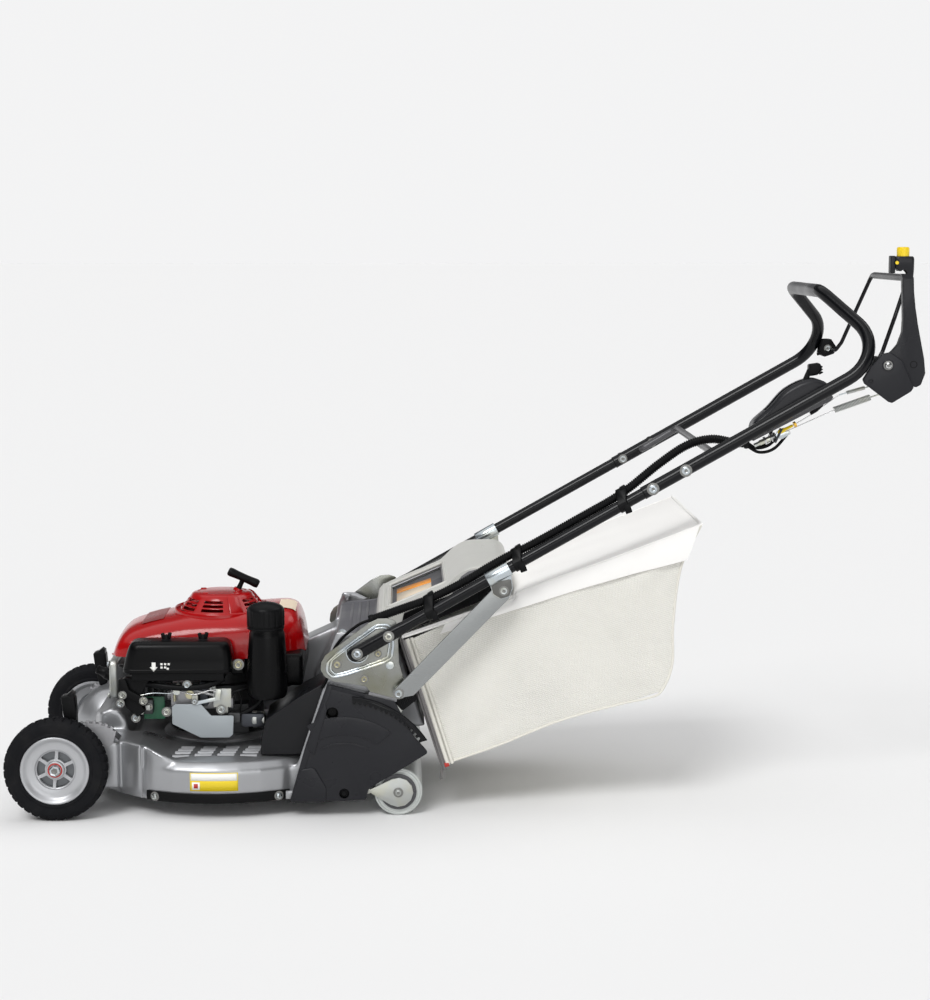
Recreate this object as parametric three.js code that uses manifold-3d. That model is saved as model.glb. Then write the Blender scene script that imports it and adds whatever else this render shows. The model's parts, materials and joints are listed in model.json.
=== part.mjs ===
// Push lawn mower with a petrol engine, a rear roller and a grass bag.
// Millimetres, +Z up, front of the mower towards -X, left side towards -Y.
// Lengths along X are given from the front axle; the last step moves the
// origin to the middle of the base.
import * as THREE from 'three';
import Module from 'manifold-3d';

const wasm = await Module();
wasm.setup();

// ---------------------------------------------------------------- dimensions
const gap = 0.3;

const wheelRadius = 100;
const wheelOuterY = 281;
const wheelInnerY = 234;
const axleZ = 100;

const deckX = 310;
const deckRadius = 275;
const deckWall = 5;
const deckBottomZ = 30;
const deckTopZ = 117;

const crankX = 302;
const bladeLength = 518;
const gearboxX = 455;
const gearboxY = -120;

const frontPivot = { x: 60, z: 95 };
const rollerPivot = { x: 554.6, z: 47.3 };
const rollerAxis = { x: 660, z: 47 };
const rollerRadius = 47;

const wallInnerY = 230;
const wallOuterY = 236;
const coverInnerY = 258.5;
const coverOuterY = 262;
const plateInnerY = 260.2;
const plateOuterY = 263.8;

const tubeY = 275;
const upperTubeRadius = 12.5;
const upperTubeWall = 2.2;
const lowerTubeRadius = 11;
const handleFoot = { x: 571, z: 320.4 };
const handleSlope = 0.5605;
const gripBar = { x: 1486, z: 1014, half: 154 };
const handleBend = { x: 1602, z: 898.1 };

const mouthTop = { x: 664, z: 339 };
const mouthLength = 262;
const mouthLean = 0.3066;
const bagHalfWidth = 226;

const flapHinge = { x: 552, z: 350 };
const bailPivot = { x: 1590, z: 880 };
const bladeLeverPivot = { x: 1605.5, z: 875 };
const throttlePivot = { x: 1430, z: 796 };

// ------------------------------------------------------------------- colours
const finishes = {
  castSilver: [0xa9abad, 0.38, 0.75],
  wheelSilver: [0xc4c6c8, 0.35, 0.7],
  zinc: [0xb9bfbf, 0.34, 0.85],
  steel: [0x8c8f92, 0.4, 0.85],
  darkSteel: [0x4c4e52, 0.45, 0.7],
  gloss: [0x1c1d20, 0.25, 0.2],
  black: [0x161616, 0.5, 0.0],
  charcoal: [0x2e2e33, 0.45, 0.0],
  tyre: [0x1b1b1c, 0.85, 0.0],
  red: [0xb0171c, 0.22, 0.0],
  rollerGrey: [0xb4b8b4, 0.5, 0.3],
  warmGrey: [0xc3c3bc, 0.5, 0.0],
  cream: [0xece8dc, 0.9, 0.0],
  yellow: [0xe8c80e, 0.4, 0.0],
  green: [0x1f5a3c, 0.5, 0.0],
  rust: [0x6f6258, 0.7, 0.5],
};

// --------------------------------------------------------------- basic tools
function toSolid(source) {
  const geometry = source.index ? source.toNonIndexed() : source;
  const position = geometry.attributes.position.array;
  const keys = new Map();
  const vertices = [];
  const triangles = [];
  for (let i = 0; i < position.length; i += 3) {
    const point = [position[i], position[i + 1], position[i + 2]];
    const key = point.map((value) => Math.round(value * 10000)).join(',');
    if (!keys.has(key)) {
      keys.set(key, vertices.length / 3);
      vertices.push(...point);
    }
    triangles.push(keys.get(key));
  }
  const kept = [];
  let volume = 0;
  for (let i = 0; i < triangles.length; i += 3) {
    const [a, b, c] = triangles.slice(i, i + 3);
    if (a === b || b === c || a === c) {
      continue;
    }
    const corner = [a, b, c].map((v) => new THREE.Vector3(...vertices.slice(v * 3, v * 3 + 3)));
    volume += corner[0].dot(corner[1].clone().cross(corner[2]));
    kept.push(a, b, c);
  }
  if (volume < 0) {
    for (let i = 0; i < kept.length; i += 3) {
      [kept[i + 1], kept[i + 2]] = [kept[i + 2], kept[i + 1]];
    }
  }
  return new wasm.Manifold(new wasm.Mesh({
    numProp: 3,
    vertProperties: new Float32Array(vertices),
    triVerts: new Uint32Array(kept),
  }));
}

function toGeometry(solid) {
  const mesh = solid.getMesh();
  const geometry = new THREE.BufferGeometry();
  const position = new Float32Array(mesh.numVert * 3);
  for (let i = 0; i < mesh.numVert; i += 1) {
    for (let axis = 0; axis < 3; axis += 1) {
      position[i * 3 + axis] = mesh.vertProperties[i * mesh.numProp + axis];
    }
  }
  geometry.setAttribute('position', new THREE.BufferAttribute(position, 3));
  geometry.setIndex(new THREE.BufferAttribute(new Uint32Array(mesh.triVerts), 1));
  geometry.computeVertexNormals();
  return geometry;
}

function join(...solids) {
  return solids.reduce((whole, solid) => whole.add(solid));
}

function cut(base, ...tools) {
  return tools.reduce((whole, tool) => whole.subtract(tool), base);
}

function overlap(...solids) {
  return solids.reduce((whole, solid) => whole.intersect(solid));
}

function shapeOf(points) {
  return new THREE.Shape(points.map(([a, b]) => new THREE.Vector2(a, b)));
}

function extrude(points, depth) {
  return new THREE.ExtrudeGeometry(shapeOf(points), { depth, bevelEnabled: false });
}

// Outline in X and Z, thickness along Y.
function sidePlate(points, y0, y1) {
  const geometry = extrude(points, y1 - y0);
  geometry.rotateX(Math.PI / 2);
  geometry.translate(0, y1, 0);
  return toSolid(geometry);
}

// Outline in X and Y, thickness along Z.
function flatPlate(points, z0, z1) {
  const geometry = extrude(points, z1 - z0);
  geometry.translate(0, 0, z0);
  return toSolid(geometry);
}

// Outline in Y and Z, thickness along X.
function crossPlate(points, x0, x1) {
  const geometry = extrude(points, x1 - x0);
  geometry.applyMatrix4(new THREE.Matrix4().makeBasis(
    new THREE.Vector3(0, 1, 0),
    new THREE.Vector3(0, 0, 1),
    new THREE.Vector3(1, 0, 0),
  ));
  geometry.translate(x0, 0, 0);
  return toSolid(geometry);
}

function box(x0, x1, y0, y1, z0, z1) {
  const geometry = new THREE.BoxGeometry(x1 - x0, y1 - y0, z1 - z0);
  geometry.translate((x0 + x1) / 2, (y0 + y1) / 2, (z0 + z1) / 2);
  return toSolid(geometry);
}

function rod(from, to, radius, sides = 16, endRadius = radius) {
  const start = new THREE.Vector3(...from);
  const end = new THREE.Vector3(...to);
  const direction = end.clone().sub(start);
  const geometry = new THREE.CylinderGeometry(endRadius, radius, direction.length(), sides);
  const turn = new THREE.Quaternion().setFromUnitVectors(
    new THREE.Vector3(0, 1, 0),
    direction.clone().normalize(),
  );
  geometry.applyQuaternion(turn);
  geometry.translate(...start.add(end).multiplyScalar(0.5).toArray());
  return toSolid(geometry);
}

// Profile of [radius, height] pairs turned about a vertical line.
function turnedUp(profile, x, y, sides = 32) {
  const points = profile.map(([radius, height]) => new THREE.Vector2(radius, height));
  const geometry = new THREE.LatheGeometry(points, sides);
  geometry.rotateX(Math.PI / 2);
  geometry.translate(x, y, 0);
  return toSolid(geometry);
}

// Profile of [radius, distance along Y] pairs turned about a sideways line.
function turnedSideways(profile, x, z, sides = 32) {
  const points = profile.map(([radius, along]) => new THREE.Vector2(radius, along));
  const geometry = new THREE.LatheGeometry(points, sides);
  geometry.translate(x, 0, z);
  return toSolid(geometry);
}

function circle(x, z, radius, sides = 24, start = 0) {
  return Array.from({ length: sides }, (_, i) => {
    const angle = start + (i / sides) * Math.PI * 2;
    return [x + radius * Math.cos(angle), z + radius * Math.sin(angle)];
  });
}

// Outline around two round ends, like a link plate.
function linkOutline(a, radiusA, b, radiusB, steps = 8) {
  const away = Math.atan2(b[1] - a[1], b[0] - a[0]);
  const spread = Math.acos((radiusA - radiusB) / Math.hypot(b[0] - a[0], b[1] - a[1]));
  const outline = [];
  for (let i = 0; i <= steps; i += 1) {
    const angle = away - spread + (2 * spread * i) / steps;
    outline.push([b[0] + radiusB * Math.cos(angle), b[1] + radiusB * Math.sin(angle)]);
  }
  for (let i = 0; i <= steps; i += 1) {
    const angle = away + spread + ((2 * Math.PI - 2 * spread) * i) / steps;
    outline.push([a[0] + radiusA * Math.cos(angle), a[1] + radiusA * Math.sin(angle)]);
  }
  return outline;
}

// The same outline moved inwards by a wall thickness.
function inset(points, wall) {
  const area = points.reduce((sum, [x, y], i) => {
    const [nextX, nextY] = points[(i + 1) % points.length];
    return sum + x * nextY - nextX * y;
  }, 0);
  const side = Math.sign(area);
  return points.map((point, i) => {
    const before = points[(i + points.length - 1) % points.length];
    const after = points[(i + 1) % points.length];
    const first = new THREE.Vector2(point[0] - before[0], point[1] - before[1]).normalize();
    const second = new THREE.Vector2(after[0] - point[0], after[1] - point[1]).normalize();
    const normal = new THREE.Vector2(-first.y - second.y, first.x + second.x).normalize();
    const stretch = Math.max(normal.dot(new THREE.Vector2(-first.y, first.x)), 0.35);
    const step = (side * wall) / stretch;
    return [point[0] + normal.x * step, point[1] + normal.y * step];
  });
}

// A curve through listed points, used as given.
class PointPath extends THREE.Curve {
  constructor(points) {
    super();
    this.points = points;
  }

  getPoint(t) {
    const last = this.points.length - 1;
    const index = Math.min(Math.floor(t * last + 1e-6), last - 1);
    return this.points[index].clone().lerp(this.points[index + 1], t * last - index);
  }

  getPointAt(t) {
    return this.getPoint(t);
  }

  getTangentAt(t) {
    const last = this.points.length - 1;
    const index = Math.round(t * last);
    const tangent = new THREE.Vector3();
    if (index > 0) {
      tangent.add(this.points[index].clone().sub(this.points[index - 1]).normalize());
    }
    if (index < last) {
      tangent.add(this.points[index + 1].clone().sub(this.points[index]).normalize());
    }
    return tangent.normalize();
  }
}

// Corner list to a path whose corners are rounded to the given bend radius.
function roundedPath(corners, bendRadius, steps = 5) {
  const points = corners.map((corner) => new THREE.Vector3(...corner));
  const path = [points[0]];
  for (let i = 1; i < points.length - 1; i += 1) {
    const radius = Array.isArray(bendRadius) ? bendRadius[i - 1] : bendRadius;
    const back = points[i - 1].clone().sub(points[i]).normalize();
    const ahead = points[i + 1].clone().sub(points[i]).normalize();
    const half = back.angleTo(ahead) / 2;
    const middle = back.clone().add(ahead).normalize();
    const centre = points[i].clone().addScaledVector(middle, radius / Math.sin(half));
    const start = points[i].clone().addScaledVector(back, radius / Math.tan(half)).sub(centre);
    const end = points[i].clone().addScaledVector(ahead, radius / Math.tan(half)).sub(centre);
    const sweep = start.angleTo(end);
    for (let k = 0; k <= steps; k += 1) {
      const part = k / steps;
      const a = Math.sin((1 - part) * sweep) / Math.sin(sweep);
      const b = Math.sin(part * sweep) / Math.sin(sweep);
      path.push(start.clone().multiplyScalar(a).addScaledVector(end, b).add(centre));
    }
  }
  path.push(points[points.length - 1]);
  return path;
}

function bentTube(path, radius, sides = 12) {
  const geometry = new THREE.ExtrudeGeometry(shapeOf(circle(0, 0, radius, sides)), {
    steps: path.length - 1,
    extrudePath: new PointPath(path),
    bevelEnabled: false,
  });
  return toSolid(geometry);
}

function mirrored(solid) {
  return solid.scale([1, -1, 1]);
}

// A smooth curve through a few points, sampled evenly.
function smoothPath(points, count) {
  const curve = new THREE.CatmullRomCurve3(points.map((point) => new THREE.Vector3(...point)));
  return curve.getSpacedPoints(count);
}

const group = new THREE.Group();
group.name = 'push_lawn_mower';

function addPart(name, solid, finish) {
  const [color, roughness, metalness] = finishes[finish];
  const material = new THREE.MeshStandardMaterial({ color, roughness, metalness });
  const mesh = new THREE.Mesh(toGeometry(solid), material);
  mesh.name = name;
  group.add(mesh);
}

function addPair(name, leftSolid, finish) {
  addPart(`${name}_left`, leftSolid, finish);
  addPart(`${name}_right`, mirrored(leftSolid), finish);
}

// --------------------------------------------------------------- cutter deck
// Bowl, front hump, side ramp of the air channel and rear chute, made as an
// outer body and the same shapes one wall smaller for the hollow.
const rampOutline = [
  [38, 60], [42, 140], [55, 172], [85, 184], [200, 192], [330, 218],
  [430, 255], [520, 296], [530, 300], [530, 60],
];
const humpOutline = [
  [36, 60], [42, 140], [55, 172], [85, 184], [105, 180], [118, 160], [124, 118], [124, 60],
];
const chuteOutline = [
  [480, 90], [486, 200], [530, 290], [556, 318], [660.7, 318], [717, 140], [606, 132], [592, 60],
];
const wallOutline = [
  [370, 35], [596, 35], [600, 130], [640, 143], [668, 236], [650, 330], [600, 345],
  [566, 362], [540, 362], [528, 330], [519, 268], [476, 141], [462, 100], [440, 92], [370, 92],
];
const hornOutline = [[44, -216], [114, -216], [116, -110], [44, -110]];
const shoulderOutline = [[112, 44], [112, 140], [161, 140], [161, 44]];
const slopeOutline = [[159, 60], [159, 139], [172, 136], [226, 112], [226, 60]];

function bowl(radius, top, bottom) {
  return turnedUp([
    [0, bottom], [radius, bottom], [radius, top - 22], [radius - 13, top - 7],
    [radius - 48, top], [0, top],
  ], deckX, 0, 40);
}

function channel(wall) {
  const reach = deckRadius - 6 - wall;
  const round = turnedUp([[0, 0], [reach, 0], [reach, 400], [0, 400]], deckX, 0, 40);
  const straight = box(deckX, 540, 155 + wall, wallOuterY - wall, 0, 400);
  const ramp = sidePlate(inset(rampOutline, wall), 155 + wall, 270);
  const hump = sidePlate(inset(humpOutline, wall), -110 + wall, 156 + wall);
  return join(overlap(ramp, join(round, straight)), overlap(hump, round));
}

const deckHorn = join(
  cut(flatPlate(hornOutline, 48, 140), box(54, 106, -206, -120, 40, 130)),
  overlap(
    sidePlate(shoulderOutline, -250, -110),
    turnedUp([[0, 0], [281, 0], [281, 200], [0, 200]], deckX, 0, 40),
  ),
  overlap(
    sidePlate(slopeOutline, -250, -110),
    turnedUp([[0, 0], [273, 0], [273, 200], [0, 200]], deckX, 0, 40),
  ),
);
const deckWallPlate = sidePlate(wallOutline, -wallOuterY, -wallInnerY);
const deckSide = join(
  deckWallPlate,
  rod([543, -coverInnerY + 2, 302], [543, -wallInnerY, 302], 9, 12),
  rod([622, -coverInnerY + 2, 323], [622, -wallInnerY, 323], 9, 12),
  rod([rollerPivot.x, -252, rollerPivot.z], [rollerPivot.x, -wallInnerY, rollerPivot.z], 12, 16),
  rod([flapHinge.x, -wallInnerY, flapHinge.z], [flapHinge.x, -188, flapHinge.z], 4, 12),
  rod([frontPivot.x, -218.7, frontPivot.z], [frontPivot.x, -215, frontPivot.z], 9, 12),
);

// Notched plate that the front height lever clicks into.
function frontSector() {
  const outline = [];
  const teeth = 9;
  for (let i = 0; i <= teeth * 2; i += 1) {
    const angle = THREE.MathUtils.degToRad(58 + (i * 74) / (teeth * 2));
    const radius = i % 2 === 0 ? 88 : 82;
    outline.push([frontPivot.x + radius * Math.cos(angle), frontPivot.z + radius * Math.sin(angle)]);
  }
  outline.push([frontPivot.x - 30, frontPivot.z + 40], [frontPivot.x + 40, frontPivot.z + 40]);
  return sidePlate(outline, -215.9, -211);
}

const frontSupports = join(deckHorn, frontSector());
const deckOuter = join(
  bowl(deckRadius, deckTopZ, deckBottomZ),
  channel(0),
  sidePlate(chuteOutline, -95, wallInnerY),
  frontSupports,
  mirrored(frontSupports),
  deckSide,
  mirrored(deckSide),
);
const chuteHollow = inset(chuteOutline, deckWall);
chuteHollow[4] = [680, 313];
chuteHollow[5] = [735, 146];
chuteHollow[7] = [575, 90];
const grilleSlots = [];
for (let groupIndex = 0; groupIndex < 4; groupIndex += 1) {
  for (let slot = 0; slot < 4; slot += 1) {
    const x = 221 + groupIndex * 44 + slot * 4;
    const y = -228 + slot * 19.5;
    grilleSlots.push(box(x, x + 31 - slot * 3, y, y + 6, 90, 130));
  }
}
addPart('cutter_deck', cut(
  deckOuter,
  bowl(deckRadius - deckWall, deckTopZ - deckWall, 0),
  channel(deckWall),
  sidePlate(chuteHollow, -90, wallInnerY - deckWall),
  rod([crankX, 0, 90], [crankX, 0, 130], 55, 24),
  rod([gearboxX, gearboxY, 90], [gearboxX, gearboxY, 130], 10, 12),
  ...grilleSlots,
), 'castSilver');

const stripOutline = [];
for (let i = 0; i <= 12; i += 1) {
  const angle = THREE.MathUtils.degToRad(240 + i * 5);
  stripOutline.push([deckX + 279.3 * Math.cos(angle), 279.3 * Math.sin(angle)]);
}
for (let i = 12; i >= 0; i -= 1) {
  const angle = THREE.MathUtils.degToRad(240 + i * 5);
  stripOutline.push([deckX + 275.5 * Math.cos(angle), 275.5 * Math.sin(angle)]);
}
addPair('side_strip', flatPlate(stripOutline, 33, 52), 'black');

// -------------------------------------------------------------- front wheels
const tyre = turnedSideways([
  [66.3, -wheelOuterY + 5], [74, -wheelOuterY], [90, -wheelOuterY + 1], [98, -wheelOuterY + 8],
  [wheelRadius, -wheelOuterY + 20], [wheelRadius, -wheelInnerY - 20], [98, -wheelInnerY - 8],
  [90, -wheelInnerY - 1], [74, -wheelInnerY], [66.3, -wheelInnerY - 5],
  [66.3, -wheelOuterY + 5],
], 0, axleZ, 36);
addPair('front_tyre', tyre, 'tyre');

let rim = turnedSideways([
  [8.3, -274], [17, -274], [18, -268], [37, -266], [40, -270], [56, -276], [66, -279],
  [66, -236], [60, -238], [50, -258], [40, -261], [18, -260], [17, -240], [8.3, -240], [8.3, -274],
], 0, axleZ, 28);
for (let i = 0; i < 6; i += 1) {
  const middle = THREE.MathUtils.degToRad(55 + i * 60);
  const window = [-0.36, -0.12, 0.12, 0.36].map((turn) => [
    35 * Math.cos(middle + turn), axleZ + 35 * Math.sin(middle + turn),
  ]);
  window.push([21 * Math.cos(middle + 0.3), axleZ + 21 * Math.sin(middle + 0.3)]);
  window.push([21 * Math.cos(middle - 0.3), axleZ + 21 * Math.sin(middle - 0.3)]);
  rim = cut(rim, sidePlate(window, -275, -250));
}
addPair('front_rim', rim, 'wheelSilver');

// Height lever: swinging arm, stub axle with its head, and the grip.
const leverArm = join(
  sidePlate(linkOutline([frontPivot.x, frontPivot.z], 14, [0, axleZ], 13), -226, -219),
  sidePlate(linkOutline([frontPivot.x, frontPivot.z], 13, [28, 188], 8), -226, -219),
  sidePlate([[21, 178], [36, 182], [32, 240], [26, 244], [16, 236]], -229, -203),
  rod([0, -274, axleZ], [0, -222, axleZ], 8, 16),
  rod([0, -280, axleZ], [0, -274 - gap, axleZ], 10.5, 6),
  rod([0, -275, axleZ], [0, -273, axleZ], 8, 16),
);
addPair('front_height_lever', leverArm, 'black');

// --------------------------------------------------------------- rear covers
const coverOutline = [
  [450, 30], [482, 141], [525, 262], [654, 228], [690, 160], [719, 127], [664, 93], [610, 61],
  [602, 54], [597, 34], [560, 33],
];
const coverEdge = sidePlate([[452, 30], [484, 141], [526, 261], [533, 259], [491, 139], [460, 34]],
  -coverOuterY, -wallOuterY - gap);
const coverTop = sidePlate([[526, 261], [597, 242.5], [595, 236], [531, 253]],
  -coverOuterY, -wallOuterY - gap);
const cover = cut(
  join(sidePlate(coverOutline, -coverOuterY, -coverInnerY), coverEdge, coverTop),
  rod([533, -270, 206], [533, -240, 206], 11, 16),
  rod([555, -270, 47], [555, -257, 47], 9, 16),
);

// Toothed arc that holds the rear height lever.
const comb = [];
for (let i = 0; i <= 28; i += 1) {
  const angle = THREE.MathUtils.degToRad(33 + i * 1.8);
  const radius = i % 2 === 0 ? 178 : 183;
  comb.push([rollerPivot.x + radius * Math.cos(angle), rollerPivot.z + radius * Math.sin(angle)]);
}
for (let i = 14; i >= 0; i -= 1) {
  const angle = THREE.MathUtils.degToRad(33 + i * 3.6);
  comb.push([rollerPivot.x + 192 * Math.cos(angle), rollerPivot.z + 192 * Math.sin(angle)]);
}
addPart('rear_cover_left', cover, 'charcoal');
addPart('rear_cover_right', mirrored(cover), 'charcoal');
addPart('rear_height_comb', sidePlate(comb, -267, -coverOuterY - gap), 'black');

// --------------------------------------------------------------- rear roller
const rollerArm = join(
  sidePlate(linkOutline([rollerPivot.x, rollerPivot.z], 14, [602, 50], 5), -256.5, -252.5),
  sidePlate(linkOutline([606, 50], 3, [rollerAxis.x, rollerAxis.z], 29), -256.5, -252.5),
  rod([rollerAxis.x, -256.5, rollerAxis.z], [rollerAxis.x, 0, rollerAxis.z], 10, 16),
);
const leverBar = sidePlate(
  linkOutline([rollerPivot.x, rollerPivot.z], 14, [667, 220], 7), -256.5, -252.5,
);
addPart('roller_frame', join(rollerArm, mirrored(rollerArm), leverBar), 'zinc');
addPart('rear_height_knob', cut(
  sidePlate([[655, 224], [668, 208], [699, 232], [690, 252], [672, 257], [657, 243]],
    -coverInnerY + gap, -243),
  sidePlate(linkOutline([rollerPivot.x, rollerPivot.z], 14.4, [667, 220], 7.4),
    -256.5 - gap, -252.5 + gap),
), 'black');
const roller = turnedSideways([
  [10.3, -251], [40, -251], [rollerRadius, -248], [rollerRadius, -5], [45, -2], [43, -2],
  [43, -243], [15, -243], [15, -2], [10.3, -2], [10.3, -251],
], rollerAxis.x, rollerAxis.z, 32);
addPair('rear_roller', roller, 'rollerGrey');

// -------------------------------------------------------------- handle parts
function tubeZ(x) {
  return 326.6 + handleSlope * (x - 582.3);
}
const plateOutline = [
  [511, 292], [513, 308], [520, 320], [603, 382], [622, 391], [640, 392], [655, 388], [660, 374],
  [662, 306], [676, 256], [668, 242], [655, 234.5], [606, 248], [598, 259], [537, 268], [519, 278],
];
addPair('handle_plate', sidePlate(plateOutline, -plateOuterY, -plateInnerY), 'zinc');

const lowerEnd = { x: 1222, z: tubeZ(1222) };
const lowerTube = cut(
  rod([handleFoot.x, -tubeY, tubeZ(handleFoot.x)], [lowerEnd.x, -tubeY, lowerEnd.z],
    lowerTubeRadius, 20),
  rod([handleFoot.x - 20, -tubeY, tubeZ(handleFoot.x - 20)],
    [lowerEnd.x + 20, -tubeY, tubeZ(lowerEnd.x + 20)], 9, 12),
);
addPair('lower_handle', lowerTube, 'gloss');

const loopCorners = [
  [1129, -tubeY, tubeZ(1129)], [handleBend.x, -tubeY, handleBend.z],
  [gripBar.x, -gripBar.half, gripBar.z], [gripBar.x, gripBar.half, gripBar.z],
  [handleBend.x, tubeY, handleBend.z], [1129, tubeY, tubeZ(1129)],
];
const loopPath = roundedPath(loopCorners, [78, 44, 44, 78], 5);
const socket = rod([1100, -tubeY, tubeZ(1100)], [1230, -tubeY, tubeZ(1230)],
  lowerTubeRadius + gap, 20);
addPart('upper_handle', cut(
  bentTube(loopPath, upperTubeRadius, 12),
  bentTube(loopPath, upperTubeRadius - upperTubeWall, 8),
  socket,
  mirrored(socket),
), 'gloss');
const loopClearance = bentTube(loopPath, upperTubeRadius + gap, 12);

addPart('cross_bar', bentTube(roundedPath([
  [1192, -255, 668], [1262, -255, 710], [1262, 255, 710], [1192, 255, 668],
], 16, 4), 7, 10), 'gloss');

// Flat brace from the side plate up to the clamp on the tube.
addPair('handle_brace', join(
  sidePlate(linkOutline([661, 247], 11, [863, 446], 11), -277, -273),
  rod([661, -275, 247], [661, -plateOuterY - gap, 247], 7, 12),
), 'steel');
const clampFrom = [832, -tubeY, tubeZ(832)];
const clampTo = [874, -tubeY, tubeZ(874)];
addPair('brace_clamp', cut(
  join(
    rod(clampFrom, clampTo, 14.2, 16),
    sidePlate([[834, 466], [843, 440], [858, 431], [874, 436], [880, 452], [876, 490]],
      -281, -277 - gap),
  ),
  rod([800, -tubeY, tubeZ(800)], [900, -tubeY, tubeZ(900)], lowerTubeRadius + gap, 20),
), 'zinc');

// Corrugated sleeve along the left tube; its thin cable goes on to the deck.
function aboveTube(x, height) {
  return [x, -262, tubeZ(x) + height];
}
const conduitPath = smoothPath([
  [606, -250, 386], [665, -256, 408], aboveTube(726, 24), aboveTube(790, 20),
  aboveTube(832, 22), aboveTube(874, 22), aboveTube(920, 19), aboveTube(1010, 19),
  aboveTube(1090, 21), [1160, -252, 686], [1215, -241, 721], [1262, -236, 733],
  [1305, -234, 727], [1336, -234, 723],
], 30);
addPart('cable_conduit', join(
  bentTube(conduitPath, 8, 8),
  bentTube(smoothPath([
    [614, -250.5, 389], [585, -248, 377], [555, -244, 352], [536, -242, 326], [529, -241, 296],
    [522, -240, 268],
  ], 9), 2.6, 6),
), 'black');

// ------------------------------------------------------------------ controls
const consoleBody = sidePlate([
  [1344, 735], [1342, 766], [1371, 792], [1399, 825], [1425, 842], [1458, 851], [1487, 838],
  [1488, 813],
], -260, -206);
addPart('throttle_console', cut(
  consoleBody,
  box(1376, 1481, -239, -225, 784, 870),
), 'charcoal');
addPart('throttle_lever', join(
  sidePlate(linkOutline([throttlePivot.x, throttlePivot.z], 9, [1457, 862], 4), -236, -228),
  sidePlate([[1448, 853], [1466, 855], [1475, 872], [1468, 879], [1449, 876]], -243, -221),
), 'black');

const bracketOutline = [
  [1547, 848], [1583, 897], [1599, 901], [1622, 884], [1645, 834], [1604, 805],
];
const pivotBlock = [
  [1552, 868], [1565, 902], [1584, 905], [1584, 862], [1566, 858],
];
const bailBlock = [
  [1566, 862], [1570, 900], [1592, 899], [1600, 884], [1596, 869], [1584, 860],
];
const bailPin = rod([bailPivot.x, -260, bailPivot.z], [bailPivot.x, -200, bailPivot.z], 4.3, 12);
addPart('control_bracket', cut(
  join(
    sidePlate(bracketOutline, -272, -262.3),
    sidePlate(pivotBlock, -270, -230),
    sidePlate(bailBlock, -246, -230),
  ),
  loopClearance,
  bailPin,
), 'charcoal');
addPart('bail_pivot_right', cut(
  join(sidePlate(pivotBlock, 230, 270), sidePlate(bailBlock, 230, 246)),
  loopClearance,
  mirrored(bailPin),
), 'black');

const leverOutline = [
  [1605, 1081], [1641, 1081], [1640, 1045], [1645, 987], [1653, 926], [1664, 888], [1668, 862],
  [1658, 833], [1645, 836], [1616, 858], [1594, 862], [1589, 877], [1598, 896], [1614, 914],
  [1622, 938], [1622, 1006], [1620, 1038], [1614, 1050],
];
addPart('blade_lever', cut(
  join(
    sidePlate(leverOutline, -262, -248),
    box(1603, 1641, -270, -240, 1046, 1081),
    box(1598, 1604, -262, -248, 1056, 1083),
  ),
  rod([1621, -255, 1052], [1621, -255, 1090], 12.3, 20),
), 'charcoal');
addPart('blade_button', rod([1621, -255, 1063], [1621, -255, 1100], 12, 20), 'yellow');

const bailCorners = [
  [bailPivot.x, -245, bailPivot.z], [bailPivot.x, -197, bailPivot.z], [1601, -190, 897],
  [1626, -177, 962], [1655, -157, 1039], [1655, 157, 1039], [1626, 177, 962], [1601, 190, 897],
  [bailPivot.x, 197, bailPivot.z], [bailPivot.x, 245, bailPivot.z],
];
addPart('drive_bail', bentTube(roundedPath(bailCorners, [8, 9, 60, 18, 18, 60, 9, 8], 3), 4, 8),
  'gloss');

addPart('blade_cable', join(
  rod([1345, -246, 721], [1500, -251, 791], 2.2, 8),
  rod([1497, -251, 789.7], [1566, -251, 814], 6.5, 12),
  rod([1564, -251, 813.3], [1581, -258, 820], 2.2, 8),
), 'zinc');

// -------------------------------------------------------------------- engine
const fins = [];
for (let i = 0; i < 5; i += 1) {
  const x = 124 + i * 13;
  fins.push(box(x, x + 4, -58, 58, 166, 262));
}
addPart('engine_block', cut(
  join(
    rod([crankX, 0, deckTopZ + gap], [crankX, 0, 130], 105, 36),
    rod([crankX, 0, 128], [crankX, 0, 222], 82, 24),
    rod([crankX, 0, 220], [crankX, 0, 292], 60, 24),
    box(112, 240, -42, 42, 170, 240),
    box(93, 119, -52, 52, 190, 262),
    box(250, 360, -104, 0, 132, 190),
    ...fins,
  ),
  rod([crankX, 0, 100], [crankX, 0, 300], 13.3, 20),
  rod([crankX, 0, 110], [crankX, 0, 212], 72, 24),
), 'castSilver');
addPart('cylinder_head_cover', crossPlate([
  [-44, 190], [44, 190], [50, 198], [50, 260], [44, 268], [-44, 268], [-50, 260], [-50, 198],
], 76, 93 - gap), 'zinc');

function shroudForm(wall) {
  const side = inset([
    [89, 284], [98, 314], [112, 336], [135, 350], [183, 364], [240, 371], [432, 376], [451, 373],
    [465, 355], [473, 310], [475, 290], [432, 284], [380, 272], [200, 272],
  ], wall);
  const plan = inset([
    [86, -68], [110, -100], [150, -110], [330, -124], [420, -120], [455, -90], [470, -40],
    [470, 40], [455, 90], [420, 120], [330, 128], [150, 112], [110, 100], [86, 68],
  ], wall);
  const front = inset([
    [-126, 250], [-126, 318], [-116, 344], [-92, 362], [-60, 371], [60, 371], [92, 362],
    [116, 344], [130, 318], [130, 250],
  ], wall);
  return overlap(
    sidePlate(side, -140, 140),
    flatPlate(plan, 240, 400),
    crossPlate(front, 80, 480),
  );
}
addPart('engine_shroud', cut(
  shroudForm(0),
  shroudForm(4),
  sidePlate([[94, 260], [94, 276], [384, 278], [434, 290], [462, 290], [462, 260]], -116, 116),
  rod([crankX, 0, 340], [crankX, 0, 390], 92.5, 40),
), 'red');

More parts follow.
